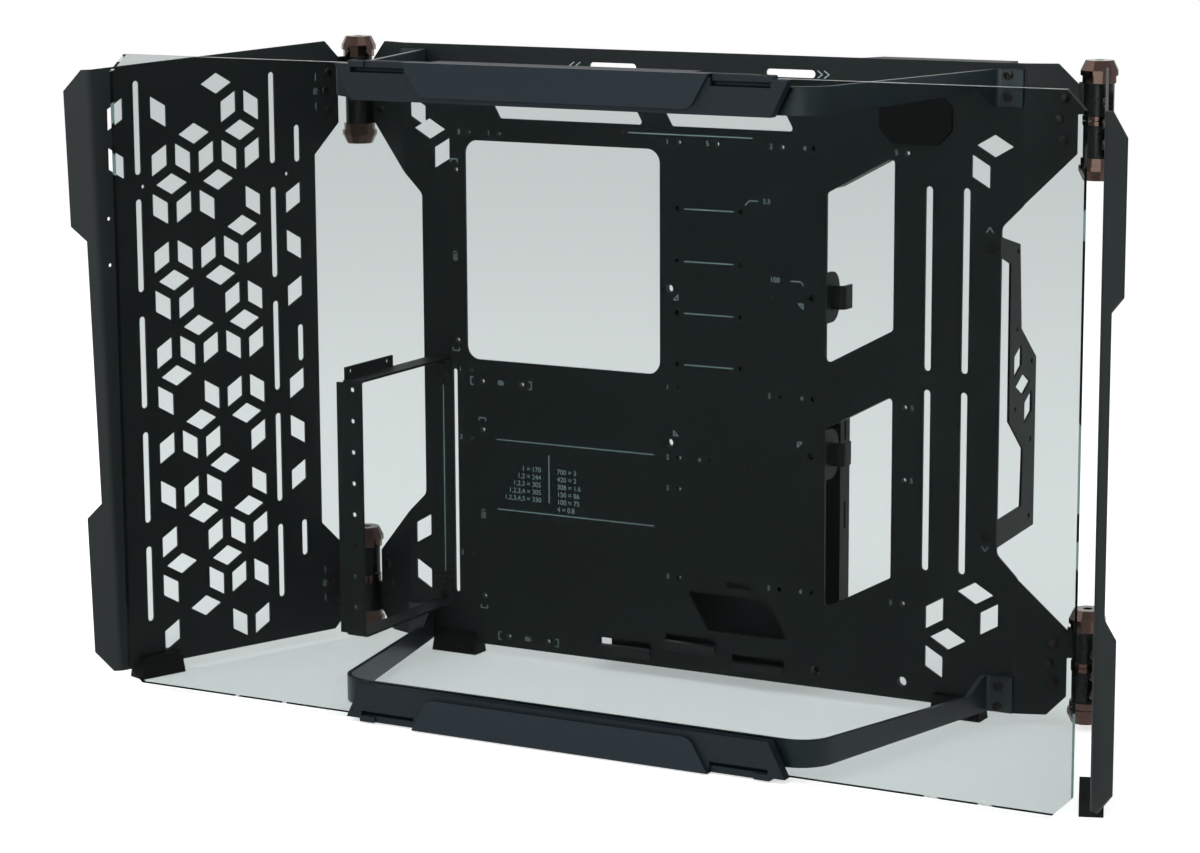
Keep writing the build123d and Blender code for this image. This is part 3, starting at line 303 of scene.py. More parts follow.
class TestBenchStage(bpy.types.PropertyGroup):
    """Camera and lamps."""

    azimuth: FloatProperty(
        name="Azimuth",
        description="Camera to the right of straight on",
        default=math.radians(28.836),
        subtype="ANGLE",
    )
    elevation: FloatProperty(
        name="Elevation", description="Camera above level", default=math.radians(10.397), subtype="ANGLE"
    )
    roll: FloatProperty(name="Roll", description="Camera roll", default=math.radians(-0.272), subtype="ANGLE")
    lens: FloatProperty(
        name="Lens", description="Focal length in millimetres", default=100.67, unit="CAMERA"
    )
    eye: FloatVectorProperty(
        name="Eye",
        description="Camera from the panel's foot",
        default=(0.9629, -1.8796, 0.5563),
        subtype="TRANSLATION",
    )
    key: FloatProperty(name="Key lamp", description="Power of the key lamp", default=15.0, unit="POWER")
    strip: FloatProperty(name="Strip lamp", description="Power of the strip lamp", default=24.0, unit="POWER")
    side: FloatProperty(name="Side lamp", description="Power of the right lamp", default=5.0, unit="POWER")
    top: FloatProperty(name="Top lamp", description="Power of the top lamp", default=16.0, unit="POWER")
    ambient: FloatProperty(name="Ambient", description="Light of the surround", default=0.45)
    floor_glow: FloatProperty(name="Floor glow", description="Glow of the floor to the eye", default=0.58)


class TestBench(bpy.types.PropertyGroup):
    """Everything that can be set."""

    sizes: PointerProperty(type=TestBenchSizes)
    colours: PointerProperty(type=TestBenchColours)
    stage: PointerProperty(type=TestBenchStage)


def settings():
    """The scene's settings."""
    return bpy.context.scene.test_bench


def linear(code):
    """Linear RGBA of an sRGB hex value."""
    channels = [int(code[place : place + 2], 16) / 255 for place in (1, 3, 5)]
    curve = [value / 12.92 if value <= 0.04045 else ((value + 0.055) / 1.055) ** 2.4 for value in channels]
    return (*curve, 1.0)


def shade(code, factor):
    """Linear RGBA of an sRGB hex value, made lighter or darker."""
    return (*(Vector(linear(code)[:3]) * factor), 1.0)


def add_node(tree, kind, values=None, links=None, **attributes):
    """Add a shader node, set its attributes and input values, and link its inputs."""
    node = tree.nodes.new(kind)
    for name, value in attributes.items():
        setattr(node, name, value)
    for name, value in (values or {}).items():
        node.inputs[name].default_value = value
    for name, socket in (links or {}).items():
        tree.links.new(socket, node.inputs[name])
    return node


def new_material(name, values):
    """A material whose shader has these values, with its node tree and shader."""
    material = bpy.data.materials.new(name)
    material.use_nodes = True
    tree = material.node_tree
    shader = tree.nodes["Principled BSDF"]
    for socket, value in values.items():
        shader.inputs[socket].default_value = value
    return material, tree, shader


def powder_coated_steel(name, colour, gloss, smoothest, dullest):
    """Mild steel sheet with a baked powder coat: a fine orange peel that breaks up soft highlights."""
    sizes = settings().sizes
    material, tree, shader = new_material(name, {"Specular IOR Level": gloss})
    place = add_node(tree, "ShaderNodeTexCoord").outputs["Object"]
    # The real peel is about 0.3 mm and is drawn coarser so that it shows
    peel = add_node(
        tree, "ShaderNodeTexNoise", {"Scale": 1 / sizes.coat_grain, "Detail": 1.0}, {"Vector": place}
    )
    # Clouds of a hand's width keep large faces from looking flat
    cloud = add_node(
        tree, "ShaderNodeTexNoise", {"Scale": 1 / sizes.coat_cloud, "Detail": 2.0}, {"Vector": place}
    )
    blend = add_node(
        tree,
        "ShaderNodeMapRange",
        {"From Min": 0.3, "From Max": 0.7, "To Min": 0.25, "To Max": 0.65},
        {"Value": cloud.outputs["Fac"]},
    )
    # A fifth of the peel's height is added to the clouds
    speck = add_node(
        tree,
        "ShaderNodeMath",
        {1: 0.2},
        {0: peel.outputs["Fac"], 2: blend.outputs["Result"]},
        operation="MULTIPLY_ADD",
    )
    tone = add_node(tree, "ShaderNodeValToRGB", links={"Fac": speck.outputs["Value"]})
    tone.color_ramp.elements[0].color = shade(colour, 0.75)
    tone.color_ramp.elements[1].color = shade(colour, 1.2)
    rough = add_node(
        tree, "ShaderNodeMapRange", {"To Min": smoothest, "To Max": dullest}, {"Value": peel.outputs["Fac"]}
    )
    bump = add_node(
        tree, "ShaderNodeBump", {"Strength": 0.04, "Distance": 0.03 * MM}, {"Height": peel.outputs["Fac"]}
    )
    tree.links.new(tone.outputs["Color"], shader.inputs["Base Color"])
    tree.links.new(rough.outputs["Result"], shader.inputs["Roughness"])
    tree.links.new(bump.outputs["Normal"], shader.inputs["Normal"])
    return material


def satin_black_steel():
    """Turned steel, blackened to a satin: smoother than the coat, with a long soft highlight."""
    colour = settings().colours.hinge
    material, tree, shader = new_material("satin_black_steel", {"Specular IOR Level": 0.16})
    place = add_node(tree, "ShaderNodeTexCoord").outputs["Object"]
    scale = 1 / settings().sizes.tool_mark
    turning = add_node(tree, "ShaderNodeTexNoise", {"Scale": scale, "Detail": 1.0}, {"Vector": place})
    tone = add_node(tree, "ShaderNodeValToRGB", links={"Fac": turning.outputs["Fac"]})
    tone.color_ramp.elements[0].color = shade(colour, 0.85)
    tone.color_ramp.elements[1].color = shade(colour, 1.15)
    rough = add_node(
        tree, "ShaderNodeMapRange", {"To Min": 0.24, "To Max": 0.34}, {"Value": turning.outputs["Fac"]}
    )
    tree.links.new(tone.outputs["Color"], shader.inputs["Base Color"])
    tree.links.new(rough.outputs["Result"], shader.inputs["Roughness"])
    return material


def polished_bronze():
    """Turned and plated rose bronze: dark and warm, bright on the facets, with fine lathe lines."""
    colour = settings().colours.bronze
    material, tree, shader = new_material("polished_rose_bronze", {"Metallic": 1.0})
    place = add_node(tree, "ShaderNodeTexCoord").outputs["Object"]
    # Real lathe lines are about 0.1 mm apart and are drawn coarser so that they show
    # A wave of scale 1 repeats every pi / 10
    scale = math.pi / 10 / settings().sizes.lathe_pitch
    lines = add_node(
        tree,
        "ShaderNodeTexWave",
        {"Scale": scale, "Distortion": 0.4},
        {"Vector": place},
        bands_direction="Z",
    )
    tone = add_node(tree, "ShaderNodeValToRGB", links={"Fac": lines.outputs["Fac"]})
    tone.color_ramp.elements[0].color = shade(colour, 0.8)
    tone.color_ramp.elements[1].color = shade(colour, 1.1)
    rough = add_node(
        tree, "ShaderNodeMapRange", {"To Min": 0.06, "To Max": 0.14}, {"Value": lines.outputs["Fac"]}
    )
    tree.links.new(tone.outputs["Color"], shader.inputs["Base Color"])
    tree.links.new(rough.outputs["Result"], shader.inputs["Roughness"])
    return material


def oxide_steel():
    """Cold-headed steel screws with a brown-black oxide: half dull, brighter where the driver has been."""
    colour = settings().colours.screw
    material, tree, shader = new_material("brown_oxide_steel", {"Metallic": 0.6, "Roughness": 0.24})
    place = add_node(tree, "ShaderNodeTexCoord").outputs["Object"]
    scale = 1 / settings().sizes.oxide_stain
    stain = add_node(tree, "ShaderNodeTexNoise", {"Scale": scale, "Detail": 2.0}, {"Vector": place})
    tone = add_node(tree, "ShaderNodeValToRGB", links={"Fac": stain.outputs["Fac"]})
    tone.color_ramp.elements[0].color = shade(colour, 0.7)
    tone.color_ramp.elements[1].color = shade(colour, 1.3)
    tree.links.new(tone.outputs["Color"], shader.inputs["Base Color"])
    return material


def moulded_grip(face):
    """Glass-filled nylon, blue-black: smooth on the raised plate at the face, grainy behind it."""
    colour = settings().colours.grip
    sizes = settings().sizes
    material, tree, shader = new_material("moulded_nylon", {"Specular IOR Level": 0.13})
    place = add_node(tree, "ShaderNodeTexCoord").outputs["Object"]
    # The real spark-eroded grain is about 0.4 mm and is drawn coarser so that it shows
    grain = add_node(
        tree,
        "ShaderNodeTexVoronoi",
        {"Scale": 1 / sizes.grip_grain, "Randomness": 0.9},
        {"Vector": place},
    )
    depth = add_node(tree, "ShaderNodeSeparateXYZ", links={"Vector": place})
    behind = add_node(
        tree,
        "ShaderNodeMapRange",
        {"From Min": face + sizes.grip_skin, "From Max": face + 2 * sizes.grip_skin},
        {"Value": depth.outputs["Y"]},
    )
    # Nought is the plate, and the grain lies between a half and one
    lift = add_node(
        tree, "ShaderNodeMath", {1: 0.5, 2: 0.5}, {0: grain.outputs["Distance"]}, operation="MULTIPLY_ADD"
    )
    texture = add_node(
        tree,
        "ShaderNodeMath",
        links={0: lift.outputs["Value"], 1: behind.outputs["Result"]},
        operation="MULTIPLY",
    )
    tone = add_node(tree, "ShaderNodeValToRGB", links={"Fac": texture.outputs["Value"]})
    tone.color_ramp.elements[0].color = shade(colour, 1.4)
    tone.color_ramp.elements[1].color = shade(colour, 0.65)
    tone.color_ramp.elements.new(0.5).color = shade(colour, 1.2)
    rough = add_node(
        tree, "ShaderNodeMapRange", {"To Min": 0.36, "To Max": 0.55}, {"Value": texture.outputs["Value"]}
    )
    bump = add_node(
        tree,
        "ShaderNodeBump",
        {"Strength": 0.12, "Distance": 0.06 * MM},
        {"Height": texture.outputs["Value"]},
        invert=True,
    )
    tree.links.new(tone.outputs["Color"], shader.inputs["Base Color"])
    tree.links.new(rough.outputs["Result"], shader.inputs["Roughness"])
    tree.links.new(bump.outputs["Normal"], shader.inputs["Normal"])
    return material


def moulded_rubber():
    """Moulded black rubber: matt, slightly uneven, with a dull bloom."""
    colour = settings().colours.rubber
    material, tree, shader = new_material("moulded_rubber", {"Specular IOR Level": 0.1})
    place = add_node(tree, "ShaderNodeTexCoord").outputs["Object"]
    scale = 1 / settings().sizes.rubber_bloom
    bloom = add_node(tree, "ShaderNodeTexNoise", {"Scale": scale, "Detail": 3.0}, {"Vector": place})
    tone = add_node(tree, "ShaderNodeValToRGB", links={"Fac": bloom.outputs["Fac"]})
    tone.color_ramp.elements[0].color = shade(colour, 0.8)
    tone.color_ramp.elements[1].color = shade(colour, 1.25)
    rough = add_node(
        tree, "ShaderNodeMapRange", {"To Min": 0.5, "To Max": 0.75}, {"Value": bloom.outputs["Fac"]}
    )
    bump = add_node(
        tree, "ShaderNodeBump", {"Strength": 0.12, "Distance": 0.1 * MM}, {"Height": bloom.outputs["Fac"]}
    )
    tree.links.new(tone.outputs["Color"], shader.inputs["Base Color"])
    tree.links.new(rough.outputs["Result"], shader.inputs["Roughness"])
    tree.links.new(bump.outputs["Normal"], shader.inputs["Normal"])
    return material


def tempered_glass():
    """Tempered float glass: a faint grey-green through its face, and darker green along its ground edges."""
    colours = settings().colours
    # A low IOR stands for the coating that keeps reflections off the pane
    values = {"Roughness": 0.0, "IOR": 1.07, "Transmission Weight": 1.0}
    material, tree, shader = new_material("tempered_float_glass", values)
    normal = add_node(tree, "ShaderNodeTexCoord").outputs["Normal"]
    axes = add_node(tree, "ShaderNodeSeparateXYZ", links={"Vector": normal})
    facing = add_node(tree, "ShaderNodeMath", links={0: axes.outputs["Y"]}, operation="ABSOLUTE")
    tone = add_node(tree, "ShaderNodeValToRGB", links={"Fac": facing.outputs["Value"]})
    tone.color_ramp.elements[0].position = 0.5
    tone.color_ramp.elements[0].color = linear(colours.glass_edge)
    tone.color_ramp.elements[1].position = 0.9
    tone.color_ramp.elements[1].color = linear(colours.glass)
    tree.links.new(tone.outputs["Color"], shader.inputs["Base Color"])
    return material


def screen_ink():
    """Screen-printed ink: pale, thin and matt, a little broken by the coat's peel."""
    colour = settings().colours.ink
    material, tree, shader = new_material("screen_ink", {"Roughness": 0.6, "Specular IOR Level": 0.2})
    place = add_node(tree, "ShaderNodeTexCoord").outputs["Object"]
    scale = 1 / settings().sizes.ink_pinhole
    cover = add_node(tree, "ShaderNodeTexNoise", {"Scale": scale, "Detail": 1.0}, {"Vector": place})
    tone = add_node(tree, "ShaderNodeValToRGB", links={"Fac": cover.outputs["Fac"]})
    tone.color_ramp.elements[0].position = 0.25
    tone.color_ramp.elements[0].color = shade(colour, 0.7)
    tone.color_ramp.elements[1].position = 0.6
    tone.color_ramp.elements[1].color = linear(colour)
    tree.links.new(tone.outputs["Color"], shader.inputs["Base Color"])
    return material


def round_edges(piece, rounding):
    """A small round on the sharp edges of a piece."""
    bevel = piece.modifiers.new("edge_round", "BEVEL")
    bevel.width = rounding
    bevel.segments = ROUND_SEGMENTS
    bevel.limit_method = "ANGLE"
    bevel.angle_limit = ROUND_FROM


def coat(name, material, rounding):
    """Give a frame node its material and round its edges."""
    node = frame["nodes"][name]
    node.data.materials.clear()
    node.data.materials.append(material)
    round_edges(node, rounding)


def on_panel(u, v, depth=0.0):
    """Frame of a place in the board grid: x right, y up, and z out of the panel's front face."""
    turn = Matrix(((1, 0, 0), (0, 0, -1), (0, 1, 0))).to_4x4()
    return Matrix.Translation((GRID_LEFT + u * MM, PANEL_FRONT + depth, GRID_TOP - v * MM)) @ turn


def turn_solid(build, rings, place, pierced=False):
    """Turn (radius, height, flats) rings about the z of a place; a pierced solid has no end faces."""
    loops = []
    for radius, height, flats in rings:
        loop = []
        for spoke in range(SPOKES):
            turn = math.tau * spoke / SPOKES
            reach = radius
            if flats:
                half = math.pi / flats
                reach *= math.cos(half) / math.cos(turn % (2 * half) - half)
            point = Vector((reach * math.cos(turn), reach * math.sin(turn), height))
            loop.append(build.verts.new(place @ point))
        loops.append(loop)
    if pierced:
        loops.append(loops[0])
    else:
        build.faces.new(reversed(loops[0]))
        build.faces.new(loops[-1])
    for lower, upper in zip(loops, loops[1:]):
        for spoke in range(SPOKES):
            build.faces.new((lower[spoke - 1], lower[spoke], upper[spoke], upper[spoke - 1]))


def islands(mesh):
    """Points of each separate solid of a mesh, in the mesh's own order."""
    build = bmesh.new()
    build.from_mesh(mesh)
    bmesh.ops.remove_doubles(build, verts=build.verts, dist=SAME_POINT)
    taken = set()
    for first in build.verts:
        if first in taken:
            continue
        taken.add(first)
        island = [first]
        for vert in island:
            near = [edge.other_vert(vert) for edge in vert.link_edges]
            island.extend(other for other in near if other not in taken)
            taken.update(near)
        yield [vert.co.copy() for vert in island]
    build.free()


def smooth(piece):
    """Smooth a piece's turned faces and keep its edges crisp."""
    piece.data.shade_smooth()
    piece.data.set_sharp_from_angle(angle=CRISP_FROM)


def new_piece(name, build, body, material):
    """A piece made from a bmesh that rides on a body."""
    mesh = bpy.data.meshes.new(name)
    build.to_mesh(mesh)
    build.free()
    mesh.materials.append(material)
    piece = bpy.data.objects.new(name, mesh)
    bpy.context.scene.collection.objects.link(piece)
    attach(piece, body)
    return piece


class TESTBENCH_OT_sheet_metal(bpy.types.Operator):
    """Powder coat the sheet metal"""

    bl_idname = "testbench.sheet_metal"
    bl_label = "Coat the sheet metal"

    def execute(self, context):
        colours = settings().colours
        matt = powder_coated_steel(
            "powder_coated_steel", colours.coat, gloss=0.16, smoothest=0.44, dullest=0.56
        )
        satin = powder_coated_steel(
            "satin_coated_steel", colours.strap, gloss=0.36, smoothest=0.28, dullest=0.4
        )
        for names, material in ((SHEET_NODES, matt), (STRAPS, satin)):
            for name in names:
                coat(name, material, settings().sizes.edge_round)
        return {"FINISHED"}


class TESTBENCH_OT_hinges(bpy.types.Operator):
    """Blacken the hinge barrels and polish their nuts and rings"""

    bl_idname = "testbench.hinges"
    bl_label = "Finish the hinges"

    def execute(self, context):
        sizes = settings().sizes
        black = satin_black_steel()
        bronze = polished_bronze()
        for hinge in HINGES:
            for part in ("panel_leaf", "wing_leaf", "hinge_pin"):
                coat(f"{hinge}_{part}", black, sizes.edge_round)
            for part in ("hinge_nuts", "hinge_rings"):
                coat(f"{hinge}_{part}", bronze, sizes.nut_round)
        return {"FINISHED"}


class TESTBENCH_OT_soft_parts(bpy.types.Operator):
    """Finish the rubber feet, the plug and the moulded grips"""

    bl_idname = "testbench.soft_parts"
    bl_label = "Finish grips and rubber"

    def execute(self, context):
        rounding = settings().sizes.rubber_round
        rubber = moulded_rubber()
        for name in RUBBER_NODES:
            coat(name, rubber, rounding)
        # Both grips have their faces in one plane
        nylon = moulded_grip(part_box("top_grip")[0].y)
        for name, up in (("top_grip", 1), ("bottom_grip", -1)):
            coat(name, nylon, rounding)
            self.add_lips(name, up, nylon)
        return {"FINISHED"}

    def add_lips(self, grip, up, nylon):
        """Bars along the pane's edge in the notches beside a grip's raised plate."""
        low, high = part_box(grip)
        edge = Vector(((low.x + high.x) / 2, low.y, high.z if up > 0 else low.z))
        build = bmesh.new()
        for side in (-1, 1):
            for across, back, inward in LIP_BOXES:
                near = Vector((side * across[0], back[0], -up * inward[0])) * MM
                far = Vector((side * across[1], back[1], -up * inward[1])) * MM
                size = Matrix.Diagonal((*(abs(part) for part in far - near), 1))
                place = Matrix.Translation(edge + (near + far) / 2)
                bmesh.ops.create_cube(build, size=1.0, matrix=place @ size)
        lips = new_piece(f"{grip}_lips", build, "frame", nylon)
        round_edges(lips, settings().sizes.rubber_round)


class TESTBENCH_OT_glass(bpy.types.Operator):
    """Glaze the front pane"""

    bl_idname = "testbench.glass"
    bl_label = "Glaze the front"

    def execute(self, context):
        coat("front_glass", tempered_glass(), settings().sizes.edge_round)
        return {"FINISHED"}


class TESTBENCH_OT_screws(bpy.types.Operator):
    """Make the button-head screws with their hex sockets"""

    bl_idname = "testbench.screws"
    bl_label = "Make the screws"

    DOME_STEPS = 5
    HEAD_FROM = 0.9  # points this far out, as a share of the head's radius, are on the head
    SOCKET_RIM = 1.25  # flat ring round the socket, over the socket's radius
    TIP_WIDTH = 0.75  # end of the shank, over the shank's radius
    TIP_LENGTH = 0.3

    def execute(self, context):
        oxide = oxide_steel()
        for name, (body, out) in SCREWS.items():
            build = bmesh.new()
            for points in islands(frame["nodes"][name].data):
                self.add_screw(build, points, out)
            piece = new_piece(f"{name}_turned", build, body, oxide)
            smooth(piece)
            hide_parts(name)
        return {"FINISHED"}

    def add_screw(self, build, points, out):
        """A button head on a plain shank, in the place of a screw's points."""
        sizes = settings().sizes
        middle = sum(points, Vector()) / len(points)
        heights = [(point - middle).dot(out) for point in points]
        spreads = [(point - middle - out * height).length for point, height in zip(points, heights)]
        head, shank = max(spreads), min(spreads)
        tail, top = min(heights), max(heights)
        seat = min(height for height, spread in zip(heights, spreads) if spread > self.HEAD_FROM * head)
        rim = self.SOCKET_RIM * sizes.socket_radius
        rings = [
            (self.TIP_WIDTH * shank, tail, 0),
            (shank, tail + self.TIP_LENGTH * shank, 0),
            (shank, seat, 0),
        ]
        for step in range(self.DOME_STEPS + 1):
            turn = math.pi / 2 * step / self.DOME_STEPS
            rings.append((rim + (head - rim) * math.cos(turn), seat + (top - seat) * math.sin(turn), 0))
        rings.append((sizes.socket_radius, top, HEX_FLATS))
        rings.append((sizes.socket_radius, top - sizes.socket_depth, HEX_FLATS))
        place = Matrix.Translation(middle) @ out.to_track_quat("Z", "Y").to_matrix().to_4x4()
        turn_solid(build, rings, place)


class TESTBENCH_OT_collars(bpy.types.Operator):
    """Press the tapped collars and the small rivets into the main panel"""

    bl_idname = "testbench.collars"
    bl_label = "Press collars and rivets"

    RIVET_CROWN = ((1.0, 0.0), (0.94, 0.5), (0.6, 1.0))  # shares of a rivet's radius and height
    RIVET_SHANK = 0.6

    def execute(self, context):
        coating = frame["nodes"]["main_panel"].data.materials[0]
        oxide = bpy.data.materials.get("brown_oxide_steel") or oxide_steel()
        smooth(new_piece("tapped_collars", self.collars(), "frame", coating))
        smooth(new_piece("panel_rivets", self.rivets(), "frame", oxide))
        return {"FINISHED"}

    def collars(self):
        """Drawn and tapped collars on the panel's back, open or shut behind."""
        sizes = settings().sizes
        build = bmesh.new()
        for radius, shut, places in COLLARS:
            inside = radius * MM
            outside = inside + sizes.collar_wall
            wall = [(inside, 0, 0), (outside, 0, 0), (outside, -sizes.collar_depth, 0)]
            bottom = sizes.collar_wall - sizes.collar_depth if shut else -sizes.collar_depth
            for u, v in places:
                place = on_panel(u, v, sizes.panel_thickness)
                turn_solid(build, [(inside, bottom, 0), *wall], place, pierced=not shut)
        bmesh.ops.recalc_face_normals(build, faces=build.faces)
        return build

    def rivets(self):
        """Low crowns on the panel's front, each on a short shank."""
        sizes = settings().sizes
        shank = (self.RIVET_SHANK * sizes.rivet_radius, -sizes.panel_thickness / 2, 0)
        crown = [(wide * sizes.rivet_radius, high * sizes.rivet_height, 0) for wide, high in self.RIVET_CROWN]
        build = bmesh.new()
        for u, v in RIVETS:
            turn_solid(build, [shank, *crown], on_panel(u, v))
        return build


class TESTBENCH_OT_marks(bpy.types.Operator):
    """Print the lines, figures and signs on the main panel and the wings"""

    bl_idname = "testbench.marks"
    bl_label = "Print the marks"

    CAP_SHARE = 0.73  # height of a figure in the built-in font over its size
    TABLE_TOP = 220.5
    TABLE_PITCH = 5.05
    TABLE_COLUMNS = ((53, TABLE_LEFT, "RIGHT"), (65, TABLE_RIGHT, "LEFT"))
    CHEVRON = ((-2.3, -1.6), (0, 1.6), (2.3, -1.6))
    BRACKET = ((1.1, -2.5), (-1.1, -2.5), (-1.1, 2.5), (1.1, 2.5))
    TRIANGLE = ((-1.6, -1.6), (1.6, -1.6), (1.6, 1.6), (-1.6, -1.6))
    WING_FIGURE = "70"
    WING_MARK = 9.0  # millimetres from the wing's screws to its marks
    WING_TICK_RISE = 12.2
    WING_TICK = 5.0
    WING_NEAR = 30 * MM  # the wing's face is looked for this near to its screws

    def execute(self, context):
        sizes = settings().sizes
        build = bmesh.new()
        for points in LINES:
            self.add_line(build, [(u, -v) for u, v in points], sizes.line_width / MM)
        for signs, shape in ((CHEVRONS, self.CHEVRON), (BRACKETS, self.BRACKET), (TRIANGLES, self.TRIANGLE)):
            for u, v, turn in signs:
                spin = Matrix.Rotation(math.radians(turn), 2)
                points = [spin @ Vector(corner) + Vector((u, -v)) for corner in shape]
                self.add_line(build, points, sizes.fine_line_width / MM)
        for v, row in FIGURES:
            for u, text in row:
                self.add_figures(build, text, u, v)
        for u, v, text in TURNED_FIGURES:
            self.add_figures(build, text, u, v, turn=-math.pi / 2)
        for u, rows, align in self.TABLE_COLUMNS:
            for step, text in enumerate(rows):
                self.add_figures(build, text, u, self.TABLE_TOP + step * self.TABLE_PITCH, align)
        ink = screen_ink()
        self.print_on("panel_marks", build, "frame", ink, on_panel(0, 0))
        for hand in ("left", "right"):
            self.mark_wing(hand, ink)
        return {"FINISHED"}

    def mark_wing(self, hand, ink):
        """A figure between two ticks beside each of a wing's hinge leaves."""
        screws = f"{hand}_wing_hinge_screws"
        body, out = SCREWS[screws]
        points = [point for screw in islands(frame["nodes"][screws].data) for point in screw]
        middle = sum(points, Vector()) / len(points)
        right = Vector((0, 0, 1)).cross(out)
        sheet = [vert.co for vert in frame["nodes"][f"{hand}_wing_panel"].data.vertices]
        near = [corner for corner in sheet if abs((corner - middle).dot(right)) < self.WING_NEAR]
        height = max(corner.dot(out) for corner in near)
        away = self.WING_MARK if right.y < 0 else -self.WING_MARK
        build = bmesh.new()
        for level in (-1, 1):
            leaf = [point.z for point in points if (point.z - middle.z) * level > 0]
            rise = (sum(leaf) / len(leaf) - middle.z) / MM
            for end in (-1, 1):
                start = Vector((away, rise + end * self.WING_TICK_RISE))
                stop = start - Vector((0, end * self.WING_TICK))
                self.add_line(build, (start, stop), settings().sizes.fine_line_width / MM)
            self.add_figures(build, self.WING_FIGURE, away, -rise, turn=math.pi / 2)
        turn = Matrix((right, (0, 0, 1), out)).transposed().to_4x4()
        place = Matrix.Translation(middle + out * (height - middle.dot(out))) @ turn
        self.print_on(f"{hand}_wing_marks", build, body, ink, place)

    def print_on(self, name, build, body, ink, place):
        """Lay flat marks in millimetres on a face as a thin film of ink."""
        build.transform(place @ Matrix.Diagonal((MM, MM, MM, 1)))
        piece = new_piece(name, build, body, ink)
        film = piece.modifiers.new("ink_film", "SOLIDIFY")
        film.thickness = settings().sizes.ink_thickness
        film.offset = 1.0

    def add_line(self, build, points, width):
        """A line of even width through flat points, mitred at its corners."""
        points = [Vector(point) for point in points]
        runs = [(after - before).normalized() for before, after in zip(points, points[1:])]
        sides = []
        for point, before, after in zip(points, runs[:1] + runs, runs + runs[-1:]):
            across = (before + after).normalized().orthogonal()
            offset = across * width / 2 / across.dot(before.orthogonal())
            sides.append([build.verts.new((point + way * offset).to_3d()) for way in (-1, 1)])
        for (right, left), (next_right, next_left) in zip(sides, sides[1:]):
            build.faces.new((right, next_right, next_left, left))

    def add_figures(self, build, text, u, v, align="CENTER", turn=0.0):
        """Figures in the built-in font, flat on the panel."""
        curve = bpy.data.curves.new("figures", "FONT")
        curve.body = text
        curve.size = settings().sizes.figure_height / self.CAP_SHARE / MM
        curve.align_x = align
        curve.align_y = "CENTER"
        writing = bpy.data.objects.new("figures", curve)
        mesh = bpy.data.meshes.new_from_object(writing)
        mesh.transform(Matrix.Translation((u, -v, 0)) @ Matrix.Rotation(turn, 4, "Z"))
        build.from_mesh(mesh)
        bpy.data.objects.remove(writing)
        bpy.data.meshes.remove(mesh)


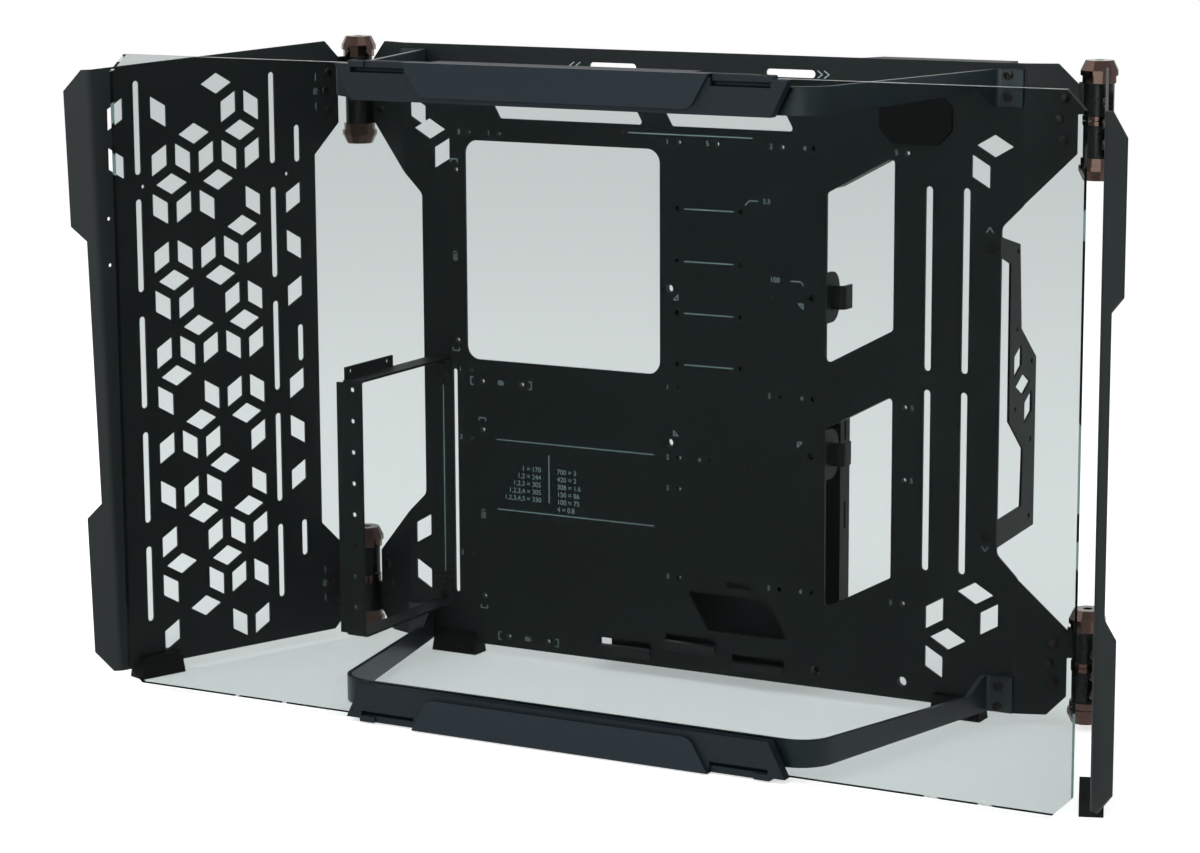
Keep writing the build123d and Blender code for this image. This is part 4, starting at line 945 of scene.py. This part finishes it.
class TESTBENCH_OT_stage(bpy.types.Operator):
    """Set the floor, the lamps, the white surround and the camera"""

    bl_idname = "testbench.stage"
    bl_label = "Set the stage"

    FLOOR_HALF = 12.0  # metres
    FLOOR_GAP = 0.2 * MM
    SENSOR = 36.0  # millimetres
    FAR_CLIP = 50.0

    def execute(self, context):
        scene = context.scene
        stage = settings().stage
        scene.view_settings.view_transform = "Standard"
        self.set_floor(scene, stage)
        self.set_surround(scene, stage)
        for name, (place, target, size) in LAMPS.items():
            self.add_lamp(scene, f"{name}_lamp", Vector(place), Vector(target), size, getattr(stage, name))
        self.set_camera(scene, stage)
        return {"FINISHED"}

    def seen(self, tree):
        """One for the eye's own rays, for reflections and through glass, and nought for soft light."""
        rays = add_node(tree, "ShaderNodeLightPath").outputs
        eye = add_node(
            tree,
            "ShaderNodeMath",
            links={0: rays["Is Camera Ray"], 1: rays["Is Transmission Ray"]},
            operation="MAXIMUM",
        )
        both = {0: eye.outputs["Value"], 1: rays["Is Glossy Ray"]}
        return add_node(tree, "ShaderNodeMath", links=both, operation="MAXIMUM").outputs["Value"]

    def set_floor(self, scene, stage):
        """Matt white paper that glows to the eye and keeps a faint shadow."""
        mesh = bpy.data.meshes.new("studio_floor")
        build = bmesh.new()
        bmesh.ops.create_grid(build, x_segments=1, y_segments=1, size=self.FLOOR_HALF)
        build.to_mesh(mesh)
        build.free()
        floor = bpy.data.objects.new("studio_floor", mesh)
        floor.location.z = cad_box[0][2] - self.FLOOR_GAP
        scene.collection.objects.link(floor)
        values = {
            "Base Color": linear(settings().colours.floor),
            "Roughness": 0.9,
            "Specular IOR Level": 0.0,
            "Emission Color": WHITE,
        }
        material, tree, shader = new_material("studio_paper", values)
        glow = add_node(
            tree, "ShaderNodeMath", {1: stage.floor_glow}, {0: self.seen(tree)}, operation="MULTIPLY"
        )
        tree.links.new(glow.outputs["Value"], shader.inputs["Emission Strength"])
        mesh.materials.append(material)

    def set_surround(self, scene, stage):
        """White to the eye and in reflections, plain soft light otherwise."""
        world = bpy.data.worlds.new("studio_surround")
        world.use_nodes = True
        scene.world = world
        tree = world.node_tree
        level = add_node(
            tree, "ShaderNodeMapRange", {"To Min": stage.ambient, "To Max": 1.0}, {"Value": self.seen(tree)}
        )
        background = tree.nodes["Background"]
        background.inputs["Color"].default_value = WHITE
        tree.links.new(level.outputs["Result"], background.inputs["Strength"])

    def add_lamp(self, scene, name, place, target, size, power):
        """A soft box aimed at the bench."""
        light = bpy.data.lights.new(name, "AREA")
        light.shape = "RECTANGLE"
        light.size, light.size_y = size
        light.energy = power
        lamp = bpy.data.objects.new(name, light)
        lamp.location = place
        lamp.rotation_euler = (target - place).to_track_quat("-Z", "Y").to_euler()
        scene.collection.objects.link(lamp)

    def set_camera(self, scene, stage):
        """The photograph's eye, lens and tilt."""
        data = bpy.data.cameras.new("camera")
        data.sensor_fit = "HORIZONTAL"
        data.sensor_width = self.SENSOR
        data.lens = stage.lens
        data.clip_end = self.FAR_CLIP
        camera = bpy.data.objects.new("camera", data)
        turn = Matrix.Rotation(stage.azimuth, 4, "Z")
        tilt = Matrix.Rotation(math.pi / 2 - stage.elevation, 4, "X")
        roll = Matrix.Rotation(stage.roll, 4, "Z")
        foot = Vector((PANEL_MIDDLE, PANEL_FRONT, 0))
        camera.matrix_world = Matrix.Translation(foot + Vector(stage.eye)) @ turn @ tilt @ roll
        scene.collection.objects.link(camera)
        scene.camera = camera


OPERATORS = (
    TESTBENCH_OT_sheet_metal,
    TESTBENCH_OT_hinges,
    TESTBENCH_OT_soft_parts,
    TESTBENCH_OT_glass,
    TESTBENCH_OT_screws,
    TESTBENCH_OT_collars,
    TESTBENCH_OT_marks,
    TESTBENCH_OT_stage,
)


class TESTBENCH_PT_finish(bpy.types.Panel):
    """Steps of the finish"""

    bl_idname = "TESTBENCH_PT_finish"
    bl_label = "Test bench"
    bl_space_type = "VIEW_3D"
    bl_region_type = "UI"
    bl_category = "Test bench"

    def draw(self, context):
        for step in OPERATORS:
            self.layout.operator(step.bl_idname)


CLASSES = (TestBenchSizes, TestBenchColours, TestBenchStage, TestBench, *OPERATORS, TESTBENCH_PT_finish)


def register():
    for item in CLASSES:
        bpy.utils.register_class(item)
    bpy.types.Scene.test_bench = PointerProperty(type=TestBench)


def unregister():
    del bpy.types.Scene.test_bench
    for item in reversed(CLASSES):
        bpy.utils.unregister_class(item)


def main():
    register()
    bpy.ops.testbench.sheet_metal()
    bpy.ops.testbench.hinges()
    bpy.ops.testbench.soft_parts()
    bpy.ops.testbench.glass()
    bpy.ops.testbench.screws()
    bpy.ops.testbench.collars()
    bpy.ops.testbench.marks()
    bpy.ops.testbench.stage()


if __name__ == "__main__":
    main()
